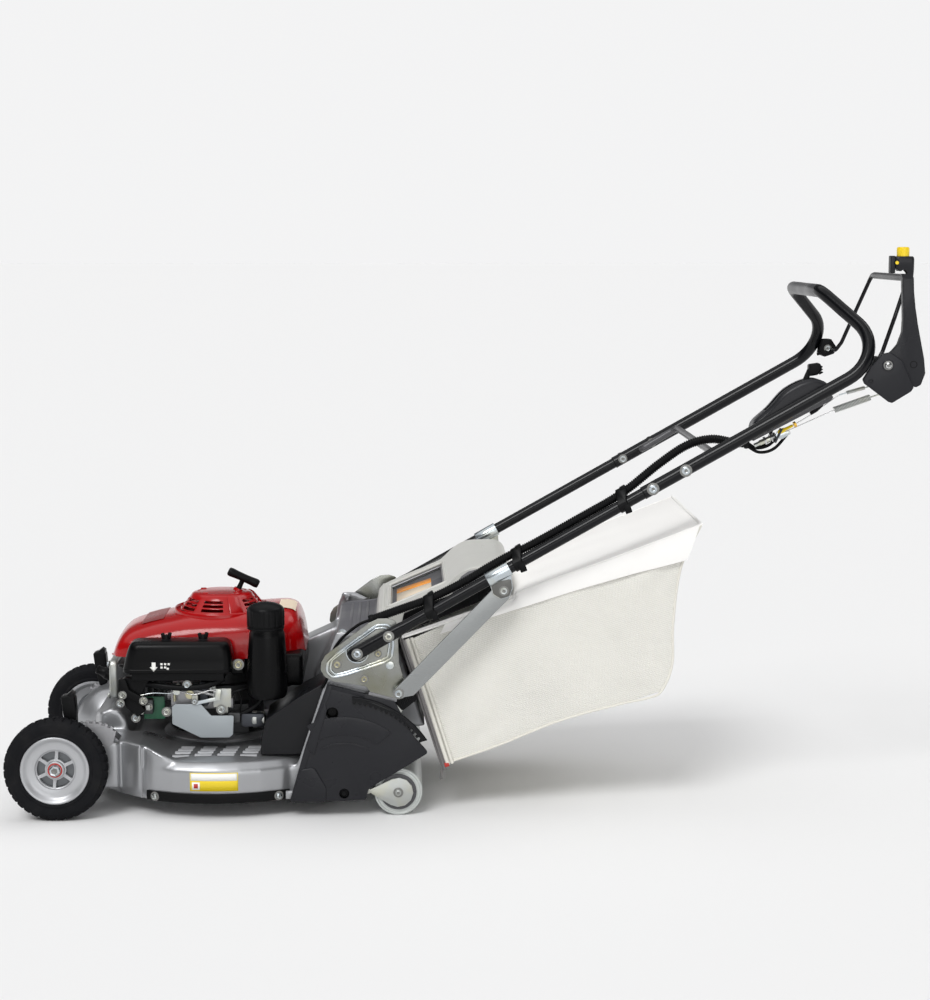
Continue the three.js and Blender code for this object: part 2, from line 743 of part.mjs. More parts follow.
const recoilShell = turnedUp([
  [0, 403], [60, 403], [63, 398], [88, 364], [91, 361], [91, 352], [87, 352], [87, 360],
  [60, 396], [57, 399], [0, 399], [0, 403],
], crankX, 0, 24);
const recoilSlots = [];
for (let column = 0; column < 8; column += 1) {
  const turn = (column / 8) * Math.PI * 2 + Math.PI / 8;
  for (let row = 0; row < 3; row += 1) {
    const z = 367 + row * 9.6;
    const reach = 83.5 - row * 6.8;
    const half = 0.26;
    const outline = [
      [reach - 8, -half], [reach + 8, -half], [reach + 8, half], [reach - 8, half],
    ].map(([radius, spread]) => [
      crankX + radius * Math.cos(turn + spread), radius * Math.sin(turn + spread),
    ]);
    recoilSlots.push(flatPlate(outline, z, z + 4.6));
  }
}
const pull = new THREE.Vector3(0.42, 0, 0.9075).normalize();
const gripStem = [346, 0, 429.5];
const stemFoot = [gripStem[0] - pull.x * 29, 0, gripStem[2] - pull.z * 29];
addPart('recoil_cover', cut(
  recoilShell,
  ...recoilSlots,
  rod([stemFoot[0] - pull.x * 20, 0, stemFoot[2] - pull.z * 20], gripStem, 6.6, 12),
), 'red');
addPart('starter_grip', join(
  rod([317, 0, 443], [375, 0, 416.2], 8.5, 12),
  rod(stemFoot, gripStem, 6, 12),
), 'black');

// Crank, flywheel, pulley, boss and blade turn together.
addPart('crankshaft', join(
  rod([crankX, 0, 62], [crankX, 0, 346], 12.5, 20),
  turnedUp([
    [0, 94], [33, 94], [33, 96], [27, 99], [27, 103], [33, 106], [33, 108], [0, 108],
  ], crankX, 0, 24),
), 'steel');
const fanBlades = [];
for (let i = 0; i < 10; i += 1) {
  const blade = new THREE.BoxGeometry(34, 4, 16);
  blade.translate(56, 0, 331);
  blade.rotateZ((i / 10) * Math.PI * 2);
  blade.translate(crankX, 0, 0);
  fanBlades.push(toSolid(blade));
}
addPart('flywheel', cut(
  join(rod([crankX, 0, 306], [crankX, 0, 325], 76, 28), ...fanBlades),
  rod([crankX, 0, 290], [crankX, 0, 345], 12.5 + gap, 20),
), 'darkSteel');
addPart('blade_boss', cut(
  rod([crankX, 0, 56 + gap], [crankX, 0, 88], 27, 24, 20),
  rod([crankX, 0, 61], [crankX, 0, 95], 12.5 + gap, 20),
), 'darkSteel');
const halfBlade = bladeLength / 2;
addPart('cutting_blade', join(
  box(crankX - 28, crankX + 28, -halfBlade + 1, halfBlade - 1, 52, 56),
  sidePlate([[crankX + 24, 52], [crankX + 28, 52], [crankX + 34, 68], [crankX + 30, 68]],
    halfBlade - 70, halfBlade - 6),
  sidePlate([[crankX - 24, 52], [crankX - 28, 52], [crankX - 34, 68], [crankX - 30, 68]],
    -halfBlade + 6, -halfBlade + 70),
), 'darkSteel');
addPart('blade_bolt', rod([crankX, 0, 41], [crankX, 0, 52 - gap], 14, 6), 'zinc');

// Belt to the gearbox under its black cover.
addPart('gearbox_pulley', turnedUp([
  [0, 94], [46, 94], [46, 96], [40, 99], [40, 103], [46, 106], [46, 108], [8, 108], [8, 135],
  [0, 135],
], gearboxX, gearboxY, 24), 'steel');
addPart('drive_belt', cut(
  flatPlate(linkOutline([crankX, 0], 31.5, [gearboxX, gearboxY], 44.5, 12), 99.3, 102.7),
  flatPlate(linkOutline([crankX, 0], 27.6, [gearboxX, gearboxY], 40.6, 12), 98, 104),
), 'black');
addPart('gearbox', cut(
  join(
    box(442, 512, -212, -106, deckTopZ + gap, 178),
    rod([478, -222, 150], [478, -212, 150], 18, 16),
  ),
  rod([gearboxX, gearboxY, 110], [gearboxX, gearboxY, 137], 8.3, 16),
), 'darkSteel');
const transmissionOutline = [
  [392, deckTopZ + gap], [394, 150], [403, 187], [466, 230], [520, 260], [524, 141],
  [524, deckTopZ + gap],
];
const transmissionHollow = inset(transmissionOutline, 4);
transmissionHollow[0] = [396, 100];
transmissionHollow[6] = [520, 100];
addPart('transmission_cover', cut(
  sidePlate(transmissionOutline, -229, -98),
  sidePlate(transmissionHollow, -225, -102),
), 'charcoal');

// Fuel tank with its filler neck, and the screw cap.
const neck = turnedUp([
  [0, 222], [36, 222], [40, 232], [39, 290], [35, 345], [34, 359 - gap], [0, 359 - gap],
], 404, -185, 28);
addPart('fuel_tank', join(
  box(391, 459, -150, 112, 236, 271),
  box(434, 459, -104, 104, 270, 283.5),
  box(380, 440, -170, -132, 240, 283.5),
  neck,
), 'black');
addPart('fuel_cap', turnedUp([
  [0, 359], [37, 359], [37, 396], [34, 404], [24, 410], [0, 412],
], 402, -185, 24), 'black');

// Air cleaner on the left of the engine.
const cleanerSide = [
  [123, 274], [337, 274], [336, 300], [330, 326], [322, 334], [146, 334], [136, 326], [127, 300],
];
const cleanerPlan = [
  [123, -190], [134, -202], [150, -206], [310, -206], [328, -202], [337, -188], [337, -132],
  [330, -130], [123, -130],
];
addPart('air_cleaner_cover', cut(
  overlap(sidePlate(cleanerSide, -210, -100), flatPlate(cleanerPlan, 270, 340)),
  overlap(
    sidePlate(inset(cleanerSide, 3.5).map(([x, z]) => [x, z < 280 ? 260 : z]), -210, -100),
    flatPlate(inset(cleanerPlan, 3.5), 260, 330),
  ),
), 'black');
addPart('air_cleaner_base', join(
  box(140, 320, -198, -134, 258, 274 - gap),
  sidePlate([[112, 252], [126, 262], [176, 262], [152, 218], [164, 196], [150, 184], [130, 200],
    [118, 224]], -188, -156),
), 'black');
addPart('insulator_plate', box(158, 199, -152, -147, 172, 217), 'green');
addPart('carburettor', join(
  box(214, 268, -176, -112, 196, 246),
  rod([241, -144, 166], [241, -144, 200], 20, 16),
  rod([199.5, -144, 222], [216, -144, 222], 14, 12),
  box(262, 334, -160, -120, 194, 214),
), 'zinc');
addPart('heat_shield', sidePlate([
  [219, 209], [280, 209], [298, 187], [337, 187], [336, 152], [329, 145], [279, 145], [219, 171],
], -193, -190), 'steel');
addPart('muffler', join(
  box(128, 232, 72, 142, 176, 256),
  rod([150, 107, 216], [112, 107, 216], 12, 12),
), 'rust');

// ------------------------------------------------------ rear flap and the bag
const flapTop = [
  [540, 324], [537, 350], [543, 361], [556, 365], [612, 378], [752, 438], [766, 449], [778, 462],
  [795, 475], [819, 480.5], [855, 481], [872, 479], [884, 468],
];
const flapOutline = [
  ...flapTop, [884, 434], [700, 361], [667, 350], [653, 324],
];
const flapHollow = [
  [544, 300],
  ...inset(flapOutline, 4).slice(1, flapTop.length),
  [880, 422], [700, 348], [672, 330], [659, 300],
];
const windowSlope = Math.atan2(438 - 378, 752 - 612);
const windowPocket = new THREE.BoxGeometry(112, 250, 6);
windowPocket.rotateY(-windowSlope);
windowPocket.translate(698, 0, 416.1);
addPart('rear_flap', cut(
  sidePlate(flapOutline, -186, 186),
  sidePlate(flapHollow, -182, 182),
  rod([flapHinge.x, -200, flapHinge.z], [flapHinge.x, 200, flapHinge.z], 4.4, 12),
  toSolid(windowPocket),
), 'warmGrey');

// A point in the leaning plane of the bag mouth.
function mouthPoint(down, out) {
  const sine = Math.sin(mouthLean);
  const cosine = Math.cos(mouthLean);
  return [mouthTop.x + down * sine + out * cosine, mouthTop.z - down * cosine + out * sine];
}
const frameOuter = [mouthPoint(0, 0), mouthPoint(0, 13), mouthPoint(262, 13), mouthPoint(262, 0)];
const frameInner = [
  mouthPoint(12, -5), mouthPoint(12, 20), mouthPoint(mouthLength - 12, 20),
  mouthPoint(mouthLength - 12, -5),
];
const frameHook = sidePlate([[745, 104], [751, 104], [747, 60], [742, 58]], -206, -194);
addPart('bag_frame', join(
  cut(
    sidePlate(frameOuter, -bagHalfWidth, bagHalfWidth),
    sidePlate(frameInner, -bagHalfWidth + 12, bagHalfWidth - 12),
  ),
  frameHook,
  mirrored(frameHook),
), 'steel');
const bagOutline = [
  mouthPoint(0, 13 + gap), [880, 418], [905, 441], [1253, 569], [1211, 482], [1197, 372],
  [1197, 289], [1181, 246], [1163, 229], [1095, 213], [977, 180], [860, 133],
  mouthPoint(mouthLength, 13 + gap),
];
const bagHollow = inset(bagOutline, 4);
bagHollow[0] = mouthPoint(5, 0);
bagHollow[12] = mouthPoint(mouthLength - 5, 0);
addPart('grass_bag', cut(
  sidePlate(bagOutline, -bagHalfWidth, bagHalfWidth),
  sidePlate(bagHollow, -bagHalfWidth + 4, bagHalfWidth - 4),
), 'cream');

// -------------------------------------------------- origin to the base centre
const bounds = new THREE.Box3().setFromObject(group);
const centre = bounds.getCenter(new THREE.Vector3());
group.children.forEach((mesh) => {
  mesh.geometry.translate(-centre.x, -centre.y, -bounds.min.z);
});

export default group;
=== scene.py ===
"""Looks of the push lawn mower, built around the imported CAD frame.

Lengths in the tables are millimetres measured from the front axle at ground
level; at() turns them into the frame's metres.
"""

import json
import math

import bmesh
import bpy
import numpy as np
from mathutils import Matrix, Vector


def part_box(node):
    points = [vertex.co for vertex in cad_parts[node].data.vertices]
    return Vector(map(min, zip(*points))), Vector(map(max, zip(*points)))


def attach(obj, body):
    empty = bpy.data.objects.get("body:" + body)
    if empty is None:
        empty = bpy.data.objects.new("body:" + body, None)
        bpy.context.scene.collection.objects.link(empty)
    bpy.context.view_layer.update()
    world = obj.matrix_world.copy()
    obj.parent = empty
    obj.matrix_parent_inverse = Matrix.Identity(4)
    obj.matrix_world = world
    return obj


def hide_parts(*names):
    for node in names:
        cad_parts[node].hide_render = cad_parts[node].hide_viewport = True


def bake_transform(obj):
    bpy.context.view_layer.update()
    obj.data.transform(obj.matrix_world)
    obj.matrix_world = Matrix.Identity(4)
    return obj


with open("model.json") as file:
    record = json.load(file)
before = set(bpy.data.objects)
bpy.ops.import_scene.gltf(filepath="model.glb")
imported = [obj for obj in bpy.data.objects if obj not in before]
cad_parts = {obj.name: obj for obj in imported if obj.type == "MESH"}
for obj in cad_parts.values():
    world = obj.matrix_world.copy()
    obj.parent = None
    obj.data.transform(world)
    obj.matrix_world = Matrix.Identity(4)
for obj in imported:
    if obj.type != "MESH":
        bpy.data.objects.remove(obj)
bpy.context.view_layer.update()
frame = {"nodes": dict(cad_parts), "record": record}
nodes = frame["nodes"]

tyre_low, tyre_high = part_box("front_tyre_left")
axle_x = (tyre_low.x + tyre_high.x) / 2
CRANK_X = 302  # upright axis of the engine and the blade
BOWL_X = 310  # middle of the deck's round bowl
WHEEL_FACE, WHEEL_Z = 281, 100  # outer face and axle height of the front wheels
PIVOT_X, PIVOT_Z = PIVOT = (554.6, 47.3)  # pivot of the roller carrier
ROLLER_X, ROLLER_Z = 660, 47
TUBE_Y = 275  # handle tubes, out from the middle
FOOT_X, FOOT_Z = 582.3, 326.6  # lower bolt of each handle tube
TUBE_SLOPE = 0.5605
body_of_node = {}
for body_name, members in frame["record"]["behaviour"]["bodies"].items():
    for member in members:
        body_of_node[member] = body_name


def at(x, y, z):
    return Vector((axle_x + x / 1000, y / 1000, z / 1000))


def tube_z(x):
    return FOOT_Z + TUBE_SLOPE * (x - FOOT_X)


# ------------------------------------------------------------------- camera
def add_camera():
    pitch = math.radians(7.1116)
    yaw = math.radians(1.7457)
    forward = Vector((
        math.sin(yaw) * math.cos(pitch),
        math.cos(yaw) * math.cos(pitch),
        -math.sin(pitch),
    ))
    data = bpy.data.cameras.new("camera")
    data.lens = 75.6
    data.sensor_width = 36
    camera = bpy.data.objects.new("camera", data)
    camera.location = at(668.2, -4238.7, 1116.4)
    camera.rotation_euler = forward.to_track_quat("-Z", "Y").to_euler()
    bpy.context.scene.collection.objects.link(camera)
    bpy.context.scene.camera = camera


def add_sun(name, direction, strength, spread):
    data = bpy.data.lights.new(name, "SUN")
    data.energy = strength
    data.angle = math.radians(spread)
    light = bpy.data.objects.new(name, data)
    light.rotation_euler = Vector(direction).to_track_quat("-Z", "Y").to_euler()
    bpy.context.scene.collection.objects.link(light)


def add_studio():
    """Pale floor, a sky that is pale at the horizon, and three broad soft lights."""
    world = bpy.data.worlds.new("studio")
    world.use_nodes = True
    tree = world.node_tree
    place = tree.nodes.new("ShaderNodeTexCoord")
    split = tree.nodes.new("ShaderNodeSeparateXYZ")
    tree.links.new(place.outputs["Generated"], split.inputs["Vector"])
    ramp = tree.nodes.new("ShaderNodeValToRGB")
    ramp.color_ramp.interpolation = "EASE"
    stops = ramp.color_ramp.elements
    stops[1].position = 0.76
    for spot in (0.12, 0.22, 0.60):
        stops.new(spot)
    for stop, level in zip(stops, (0.9, 0.9, 0.10, 0.10, 1.0)):
        stop.color = (level, level, level * 1.005, 1)
    tree.links.new(split.outputs["Z"], ramp.inputs["Fac"])
    tree.links.new(ramp.outputs["Color"], tree.nodes["Background"].inputs["Color"])
    bpy.context.scene.world = world
    add_sun("key_light", (0.38, 0.80, -0.95), 1.45, 24)
    add_sun("fill_light", (-0.15, 1.0, -0.30), 0.6, 40)
    add_sun("rear_light", (-0.7, -0.25, -0.75), 0.3, 30)
    mesh = bpy.data.meshes.new("floor")
    mesh.from_pydata([(-90, -90, 0), (90, -90, 0), (90, 90, 0), (-90, 90, 0)], [],
                     [(0, 1, 2, 3)])
    floor = bpy.data.objects.new("floor", mesh)
    bpy.context.scene.collection.objects.link(floor)
    floor.data.materials.append(materials["floor"])
    bpy.context.scene.view_settings.view_transform = "Standard"


# ---------------------------------------------------------------- materials
materials = {}


def linear(colour):
    return [((c + 0.055) / 1.055) ** 2.4 if c > 0.04045 else c / 12.92 for c in colour]


def new_material(name, **values):
    """A material with the given shader inputs; returns its node tree and its shader."""
    material = bpy.data.materials.new(name)
    material.use_nodes = True
    materials[name] = material
    shader = material.node_tree.nodes["Principled BSDF"]
    for label, value in values.items():
        shader.inputs[label.replace("_", " ")].default_value = value
    return material.node_tree, shader


def add_node(tree, kind, **values):
    """A shader node; each named input takes a value or a link from a socket."""
    node = tree.nodes.new("ShaderNode" + kind)
    for label, value in values.items():
        socket = node.inputs[label.replace("_", " ")]
        if isinstance(value, bpy.types.NodeSocket):
            tree.links.new(value, socket)
        else:
            socket.default_value = value
    return node


def add_ramp(tree, dark, light, start, end):
    ramp = add_node(tree, "ValToRGB")
    for stop, colour, spot in zip(ramp.color_ramp.elements, (dark, light), (start, end)):
        stop.position = spot
        stop.color = [*colour, 1]
    return ramp


def add_relief(tree, shader, height, strength, depth):
    relief = add_node(tree, "Bump", Strength=strength, Distance=depth, Height=height)
    tree.links.new(relief.outputs["Normal"], shader.inputs["Normal"])


def add_material(
    name, colour, roughness, metallic=0.0, grain=900.0, bump=0.15, depth=0.0002,
    mottle=0.06, patch=9.0, tint=None, tint_scale=14.0, coat=0.0, wear=0.08,
    stretch=(1, 1, 1), specular=0.5, sheen=0.0,
):
    """Plastic, paint or metal: colour mottling, patchy roughness and fine grain."""
    tree, shader = new_material(
        name, Metallic=metallic, Specular_IOR_Level=specular, Coat_Weight=coat,
        Coat_Roughness=0.06, Sheen_Weight=sheen)
    place = add_node(tree, "TexCoord")
    scaled = add_node(tree, "Mapping", Scale=stretch, Vector=place.outputs["Object"])

    def noise(scale, detail):
        return add_node(tree, "TexNoise", Scale=scale, Detail=detail,
                        Vector=scaled.outputs["Vector"]).outputs["Fac"]

    fine = noise(grain, 3)
    broad = noise(patch, 4)
    base = linear(colour)
    ramp = add_ramp(tree, [c * (1 - mottle) for c in base],
                    [min(c * (1 + mottle), 1) for c in base], 0.3, 0.7)
    blend = add_node(tree, "Mix")
    blend.data_type = "FLOAT"
    blend.inputs[0].default_value = 0.5
    tree.links.new(fine, blend.inputs[2])
    tree.links.new(broad, blend.inputs[3])
    tree.links.new(blend.outputs[0], ramp.inputs["Fac"])
    colour_out = ramp.outputs["Color"]
    if tint:
        mask = add_node(tree, "MapRange", From_Min=0.45, From_Max=0.7)
        tree.links.new(noise(tint_scale, 2), mask.inputs["Value"])
        mix = add_node(tree, "Mix")
        mix.data_type = "RGBA"
        tree.links.new(mask.outputs["Result"], mix.inputs[0])
        tree.links.new(colour_out, mix.inputs[6])
        mix.inputs[7].default_value = [*linear(tint), 1]
        colour_out = mix.outputs[2]
    tree.links.new(colour_out, shader.inputs["Base Color"])
    rough = add_node(
        tree, "MapRange", From_Min=0.3, From_Max=0.7, To_Min=max(roughness - wear, 0.03),
        To_Max=min(roughness + wear, 1), Value=broad)
    tree.links.new(rough.outputs["Result"], shader.inputs["Roughness"])
    add_relief(tree, shader, fine, bump, depth)


def add_weave_material(name, colour, direction, pitch, strength):
    """Ribbed mesh cloth: fine threads both ways, the ribs stronger."""
    tree, shader = new_material(
        name, Roughness=0.85, Sheen_Weight=0.15, Subsurface_Weight=0.05,
        Subsurface_Radius=(0.01, 0.01, 0.008))
    place = add_node(tree, "TexCoord")
    turned_over = add_node(tree, "Mapping", Rotation=(0, direction, 0),
                           Vector=place.outputs["Object"])
    waves = []
    for axis, scale in (("Z", pitch), ("X", pitch * 1.15)):
        wave = add_node(tree, "TexWave", Scale=scale, Distortion=0.4, Detail=1,
                        Vector=turned_over.outputs["Vector"])
        wave.bands_direction = axis
        waves.append(wave.outputs["Fac"])

    def multiply_add(value, factor, addend):
        node = add_node(tree, "Math")
        node.operation = "MULTIPLY_ADD"
        tree.links.new(value, node.inputs[0])
        node.inputs[1].default_value = factor
        tree.links.new(addend, node.inputs[2])
        return node.outputs[0]

    weave = multiply_add(waves[1], 0.45, waves[0])
    soft = add_node(tree, "TexNoise", Scale=7, Detail=5, Vector=place.outputs["Object"])
    base = linear(colour)
    ramp = add_ramp(tree, [c * 0.70 for c in base], base, 0.0, 0.9)
    tree.links.new(multiply_add(weave, 0.55, soft.outputs["Fac"]), ramp.inputs["Fac"])
    tree.links.new(ramp.outputs["Color"], shader.inputs["Base Color"])
    add_relief(tree, shader, weave, strength, 0.0006)


# Name, colour, roughness, metallic where it is a metal, and what differs from the defaults.
MATERIALS = (
    ("floor", (0.925, 0.925, 0.925), 1.0, dict(bump=0.0, mottle=0.001, wear=0.0, specular=0.0)),
    ("cast_silver", (0.64, 0.645, 0.655), 0.34, 0.75, dict(grain=1400, bump=0.25, mottle=0.05)),
    ("cast_engine", (0.27, 0.275, 0.28), 0.5, 0.6,
     dict(grain=700, bump=0.7, mottle=0.16, tint=(0.2, 0.2, 0.2), tint_scale=40)),
    ("rim_silver", (0.7, 0.705, 0.715), 0.4, 0.5, dict(grain=1500, bump=0.06)),
    ("zinc", (0.76, 0.79, 0.81), 0.25, 0.95,
     dict(grain=500, bump=0.1, mottle=0.08, tint=(0.8, 0.8, 0.74), tint_scale=22, wear=0.1)),
    ("zinc_green", (0.69, 0.7, 0.69), 0.4, 0.7,
     dict(grain=700, bump=0.2, mottle=0.05, tint=(0.7, 0.7, 0.65), tint_scale=30)),
    ("tab_grey", (0.4, 0.4, 0.39), 0.35, 0.7, dict(grain=900, bump=0.15, mottle=0.1)),
    ("washer_grey", (0.5, 0.5, 0.49), 0.4, 0.8, dict(grain=700, bump=0.15, mottle=0.1)),
    ("bright_steel", (0.8, 0.8, 0.8), 0.22, 1.0, dict(grain=600, bump=0.1)),
    ("brace_steel", (0.6, 0.61, 0.61), 0.3, 0.95,
     dict(grain=900, bump=0.3, stretch=(0.15, 1, 1), mottle=0.1)),
    ("dark_steel", (0.27, 0.28, 0.3), 0.42, 0.8, dict(grain=900, bump=0.3, mottle=0.12)),
    ("gloss_black", (0.05, 0.053, 0.064), 0.22,
     dict(grain=2200, bump=0.05, coat=0.12, mottle=0.1, wear=0.05, specular=0.16)),
    ("black_plastic", (0.046, 0.048, 0.053), 0.4,
     dict(grain=1700, bump=0.35, mottle=0.12, specular=0.12)),
    ("charcoal", (0.118, 0.12, 0.135), 0.32,
     dict(grain=1500, bump=0.3, mottle=0.08, wear=0.1, specular=0.21, coat=0.06)),
    ("tyre", (0.095, 0.097, 0.106), 0.7,
     dict(grain=700, bump=0.4, mottle=0.18, tint=(0.12, 0.12, 0.125), tint_scale=30, specular=0.06)),
    ("red_gloss", (0.64, 0.012, 0.03), 0.2,
     dict(grain=2500, bump=0.03, coat=0.3, mottle=0.04, wear=0.04, specular=0.25)),
    ("roller_grey", (0.73, 0.745, 0.735), 0.42, 0.25, dict(grain=600, bump=0.3, mottle=0.06)),
    ("warm_grey", (0.78, 0.78, 0.76), 0.42, dict(grain=1500, bump=0.25, mottle=0.03)),
    ("well_grey", (0.42, 0.43, 0.44), 0.4, 0.7, dict(grain=1200, bump=0.2, mottle=0.08)),
    ("hinge_grey", (0.34, 0.34, 0.36), 0.42, dict(grain=1400, bump=0.3, mottle=0.08)),
    ("mid_grey", (0.42, 0.42, 0.43), 0.45, dict(grain=1500, bump=0.25, mottle=0.05)),
    ("smooth_cloth", (0.965, 0.96, 0.95), 0.8,
     dict(grain=2600, bump=0.35, mottle=0.03, sheen=0.05, patch=5)),
    ("binding", (0.88, 0.87, 0.835), 0.85, dict(grain=1800, bump=0.6, mottle=0.05)),
    ("yellow", (0.93, 0.8, 0.08), 0.32, dict(grain=1800, bump=0.15, mottle=0.04)),
    ("green", (0.13, 0.37, 0.26), 0.5, dict(grain=900, bump=0.3, mottle=0.1)),
    ("exhaust", (0.45, 0.4, 0.36), 0.55, 0.8,
     dict(grain=500, bump=0.5, mottle=0.15, tint=(0.5, 0.36, 0.24), tint_scale=18)),
    ("brass", (0.83, 0.66, 0.28), 0.3, 1.0, dict(grain=900, bump=0.1)),
    ("red_paint", (0.7, 0.17, 0.13), 0.45, dict(grain=1500, bump=0.1)),
    ("sticker_yellow", (0.93, 0.82, 0.15), 0.35, dict(grain=1500, bump=0.05, mottle=0.03)),
    ("sticker_white", (0.93, 0.93, 0.91), 0.35, dict(grain=1500, bump=0.05, mottle=0.02)),
    ("sticker_orange", (0.9, 0.58, 0.2), 0.4, dict(grain=1500, bump=0.05, mottle=0.03)),
    ("sticker_cream", (0.94, 0.87, 0.77), 0.4, dict(grain=1500, bump=0.05, mottle=0.02)),
    ("black_satin", (0.028, 0.029, 0.033), 0.3,
     dict(specular=0.12, grain=1900, bump=0.25, mottle=0.1, wear=0.07)),
    ("red_trim", (0.5, 0.06, 0.07), 0.3, dict(grain=2000, bump=0.05, mottle=0.04)),
    ("rope", (0.35, 0.33, 0.3), 0.8, dict(grain=1600, bump=0.8, mottle=0.2)),
    ("shield_grey", (0.6, 0.625, 0.64), 0.38, 0.4, dict(grain=900, bump=0.12, mottle=0.04)),
    ("bracket_grey", (0.6, 0.6, 0.61), 0.4, 0.6, dict(grain=900, bump=0.15, mottle=0.06)),
    ("brass_zinc", (0.74, 0.72, 0.6), 0.3, 0.9, dict(grain=600, bump=0.1, mottle=0.1)),
    ("satin_grey", (0.3, 0.3, 0.31), 0.34, 0.3, dict(grain=1500, bump=0.1, mottle=0.08)),
    ("charcoal_light", (0.085, 0.087, 0.097), 0.34,
     dict(specular=0.2, grain=1300, bump=0.35, mottle=0.08)),
    ("mid_charcoal", (0.28, 0.28, 0.29), 0.42, dict(grain=1500, bump=0.25, mottle=0.08)),
    ("bag_steel", (0.5, 0.49, 0.49), 0.4, 0.8, dict(grain=800, bump=0.2, mottle=0.12)),
    ("plate_zinc", (0.56, 0.565, 0.55), 0.28, 0.95,
     dict(grain=500, bump=0.1, mottle=0.1, tint=(0.5, 0.5, 0.44), tint_scale=16, wear=0.1)),
)


def add_all_materials():
    for *plain, named in MATERIALS:
        add_material(*plain, **named)
    add_weave_material("mesh_cloth", (0.895, 0.89, 0.862), math.radians(-19), 82, 0.9)


# ------------------------------------------------------------ mesh builders
SIDES = ((-1, "left"), (1, "right"))


def span(side, near, far):
    """Two distances from the middle, taken on one side, lowest first."""
    return sorted((side * near, side * far))


def thicken(obj, thickness, offset=0):
    modifier = obj.modifiers.new("thick", "SOLIDIFY")
    modifier.thickness = thickness / 1000
    modifier.offset = offset
    apply_modifiers(obj)


def add_object(name, vertices, faces, material, body, angle=38):
    mesh = bpy.data.meshes.new(name)
    mesh.from_pydata([tuple(v) for v in vertices], [], faces)
    mesh.validate()
    shell = bmesh.new()
    shell.from_mesh(mesh)
    bmesh.ops.recalc_face_normals(shell, faces=shell.faces)
    shell.to_mesh(mesh)
    shell.free()
    obj = bpy.data.objects.new(name, mesh)
    bpy.context.scene.collection.objects.link(obj)
    mesh.materials.append(materials[material])
    smooth(obj, angle)
    if body:
        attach(obj, body)
    return obj


def smooth(obj, angle=38):
    obj.data.shade_smooth()
    obj.data.set_sharp_from_angle(angle=math.radians(angle))


def apply_modifiers(obj):
    bpy.context.view_layer.update()
    graph = bpy.context.evaluated_depsgraph_get()
    mesh = bpy.data.meshes.new_from_object(obj.evaluated_get(graph))
    obj.modifiers.clear()
    obj.data = mesh


def bevel(obj, width, segments=2, angle=30):
    modifier = obj.modifiers.new("bevel", "BEVEL")
    modifier.width = width / 1000
    modifier.segments = segments
    modifier.limit_method = "ANGLE"
    modifier.angle_limit = math.radians(angle)
    modifier.use_clamp_overlap = True
    apply_modifiers(obj)


def refine(node, material, width=1.0, segments=2, angle=30):
    """A CAD node again, with rounded edges and a finished material."""
    source = nodes[node]
    shell = bmesh.new()
    shell.from_mesh(source.data)
    bmesh.ops.remove_doubles(shell, verts=shell.verts, dist=1e-5)
    bmesh.ops.dissolve_limit(
        shell, angle_limit=math.radians(1.0), verts=shell.verts, edges=shell.edges,
        use_dissolve_boundaries=False,
    )
    mesh = bpy.data.meshes.new(node + "_fine")
    shell.to_mesh(mesh)
    shell.free()
    obj = bpy.data.objects.new(node + "_fine", mesh)
    bpy.context.scene.collection.objects.link(obj)
    mesh.materials.clear()
    mesh.materials.append(materials[material])
    if width:
        bevel(obj, width, segments, angle)
    smooth(obj, 35)
    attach(obj, body_of_node[node])
    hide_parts(node)
    return obj


def turned(name, profile, origin, axis, material, body, sides=64, angle=38, swell=None):
    """Profile of [radius, distance along the axis] pairs turned about an axis."""
    direction = Vector(axis).normalized()
    side = direction.orthogonal().normalized()
    other = direction.cross(side)
    start = at(*origin)
    vertices = []
    for i in range(sides):
        turn = 2 * math.pi * i / sides
        out = side * math.cos(turn) + other * math.sin(turn)
        for radius, along in profile:
            if swell:
                radius = radius + swell(i, radius)
            vertices.append(start + out * radius / 1000 + direction * along / 1000)
    count = len(profile)
    closed = profile[0] == profile[-1]
    faces = []
    for i in range(sides):
        after = (i + 1) % sides
        for k in range(count - 1):
            faces.append([
                i * count + k, i * count + k + 1, after * count + k + 1, after * count + k,
            ])
    obj = add_object(name, vertices, faces, material, None, angle)
    shell = bmesh.new()
    shell.from_mesh(obj.data)
    bmesh.ops.remove_doubles(shell, verts=shell.verts, dist=1e-6)
    if not closed:
        bmesh.ops.holes_fill(shell, edges=shell.edges)
    bmesh.ops.recalc_face_normals(shell, faces=shell.faces)
    shell.to_mesh(obj.data)
    shell.free()
    smooth(obj, angle)
    if body:
        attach(obj, body)
    return obj


def tube_mesh(points, radius, sides=14, closed=False):
    """Vertices and faces of a round tube; radius is a number or one per point."""
    line = [Vector(p) for p in points]
    count = len(line)
    radii = radius if hasattr(radius, "__len__") else [radius] * count
    tangents = []
    for i in range(count):
        before = line[(i - 1) % count] if closed or i > 0 else line[i]
        after = line[(i + 1) % count] if closed or i < count - 1 else line[i]
        tangents.append((after - before).normalized())
    side = tangents[0].orthogonal().normalized()
    vertices = []
    for i in range(count):
        side = (side - tangents[i] * side.dot(tangents[i])).normalized()
        other = tangents[i].cross(side)
        for k in range(sides):
            turn = 2 * math.pi * k / sides
            offset = side * math.cos(turn) + other * math.sin(turn)
            vertices.append(line[i] + offset * radii[i] / 1000)
    faces = []
    for i in range(count if closed else count - 1):
        after = (i + 1) % count
        for k in range(sides):
            beside = (k + 1) % sides
            faces.append([
                i * sides + k, i * sides + beside, after * sides + beside, after * sides + k,
            ])
    if not closed:
        faces.append(list(range(sides))[::-1])
        faces.append([(count - 1) * sides + k for k in range(sides)])
    return vertices, faces


def add_tube(name, points, radius, material, body, sides=14, closed=False, angle=50):
    vertices, faces = tube_mesh([at(*p) for p in points], radius, sides, closed)
    return add_object(name, vertices, faces, material, body, angle)


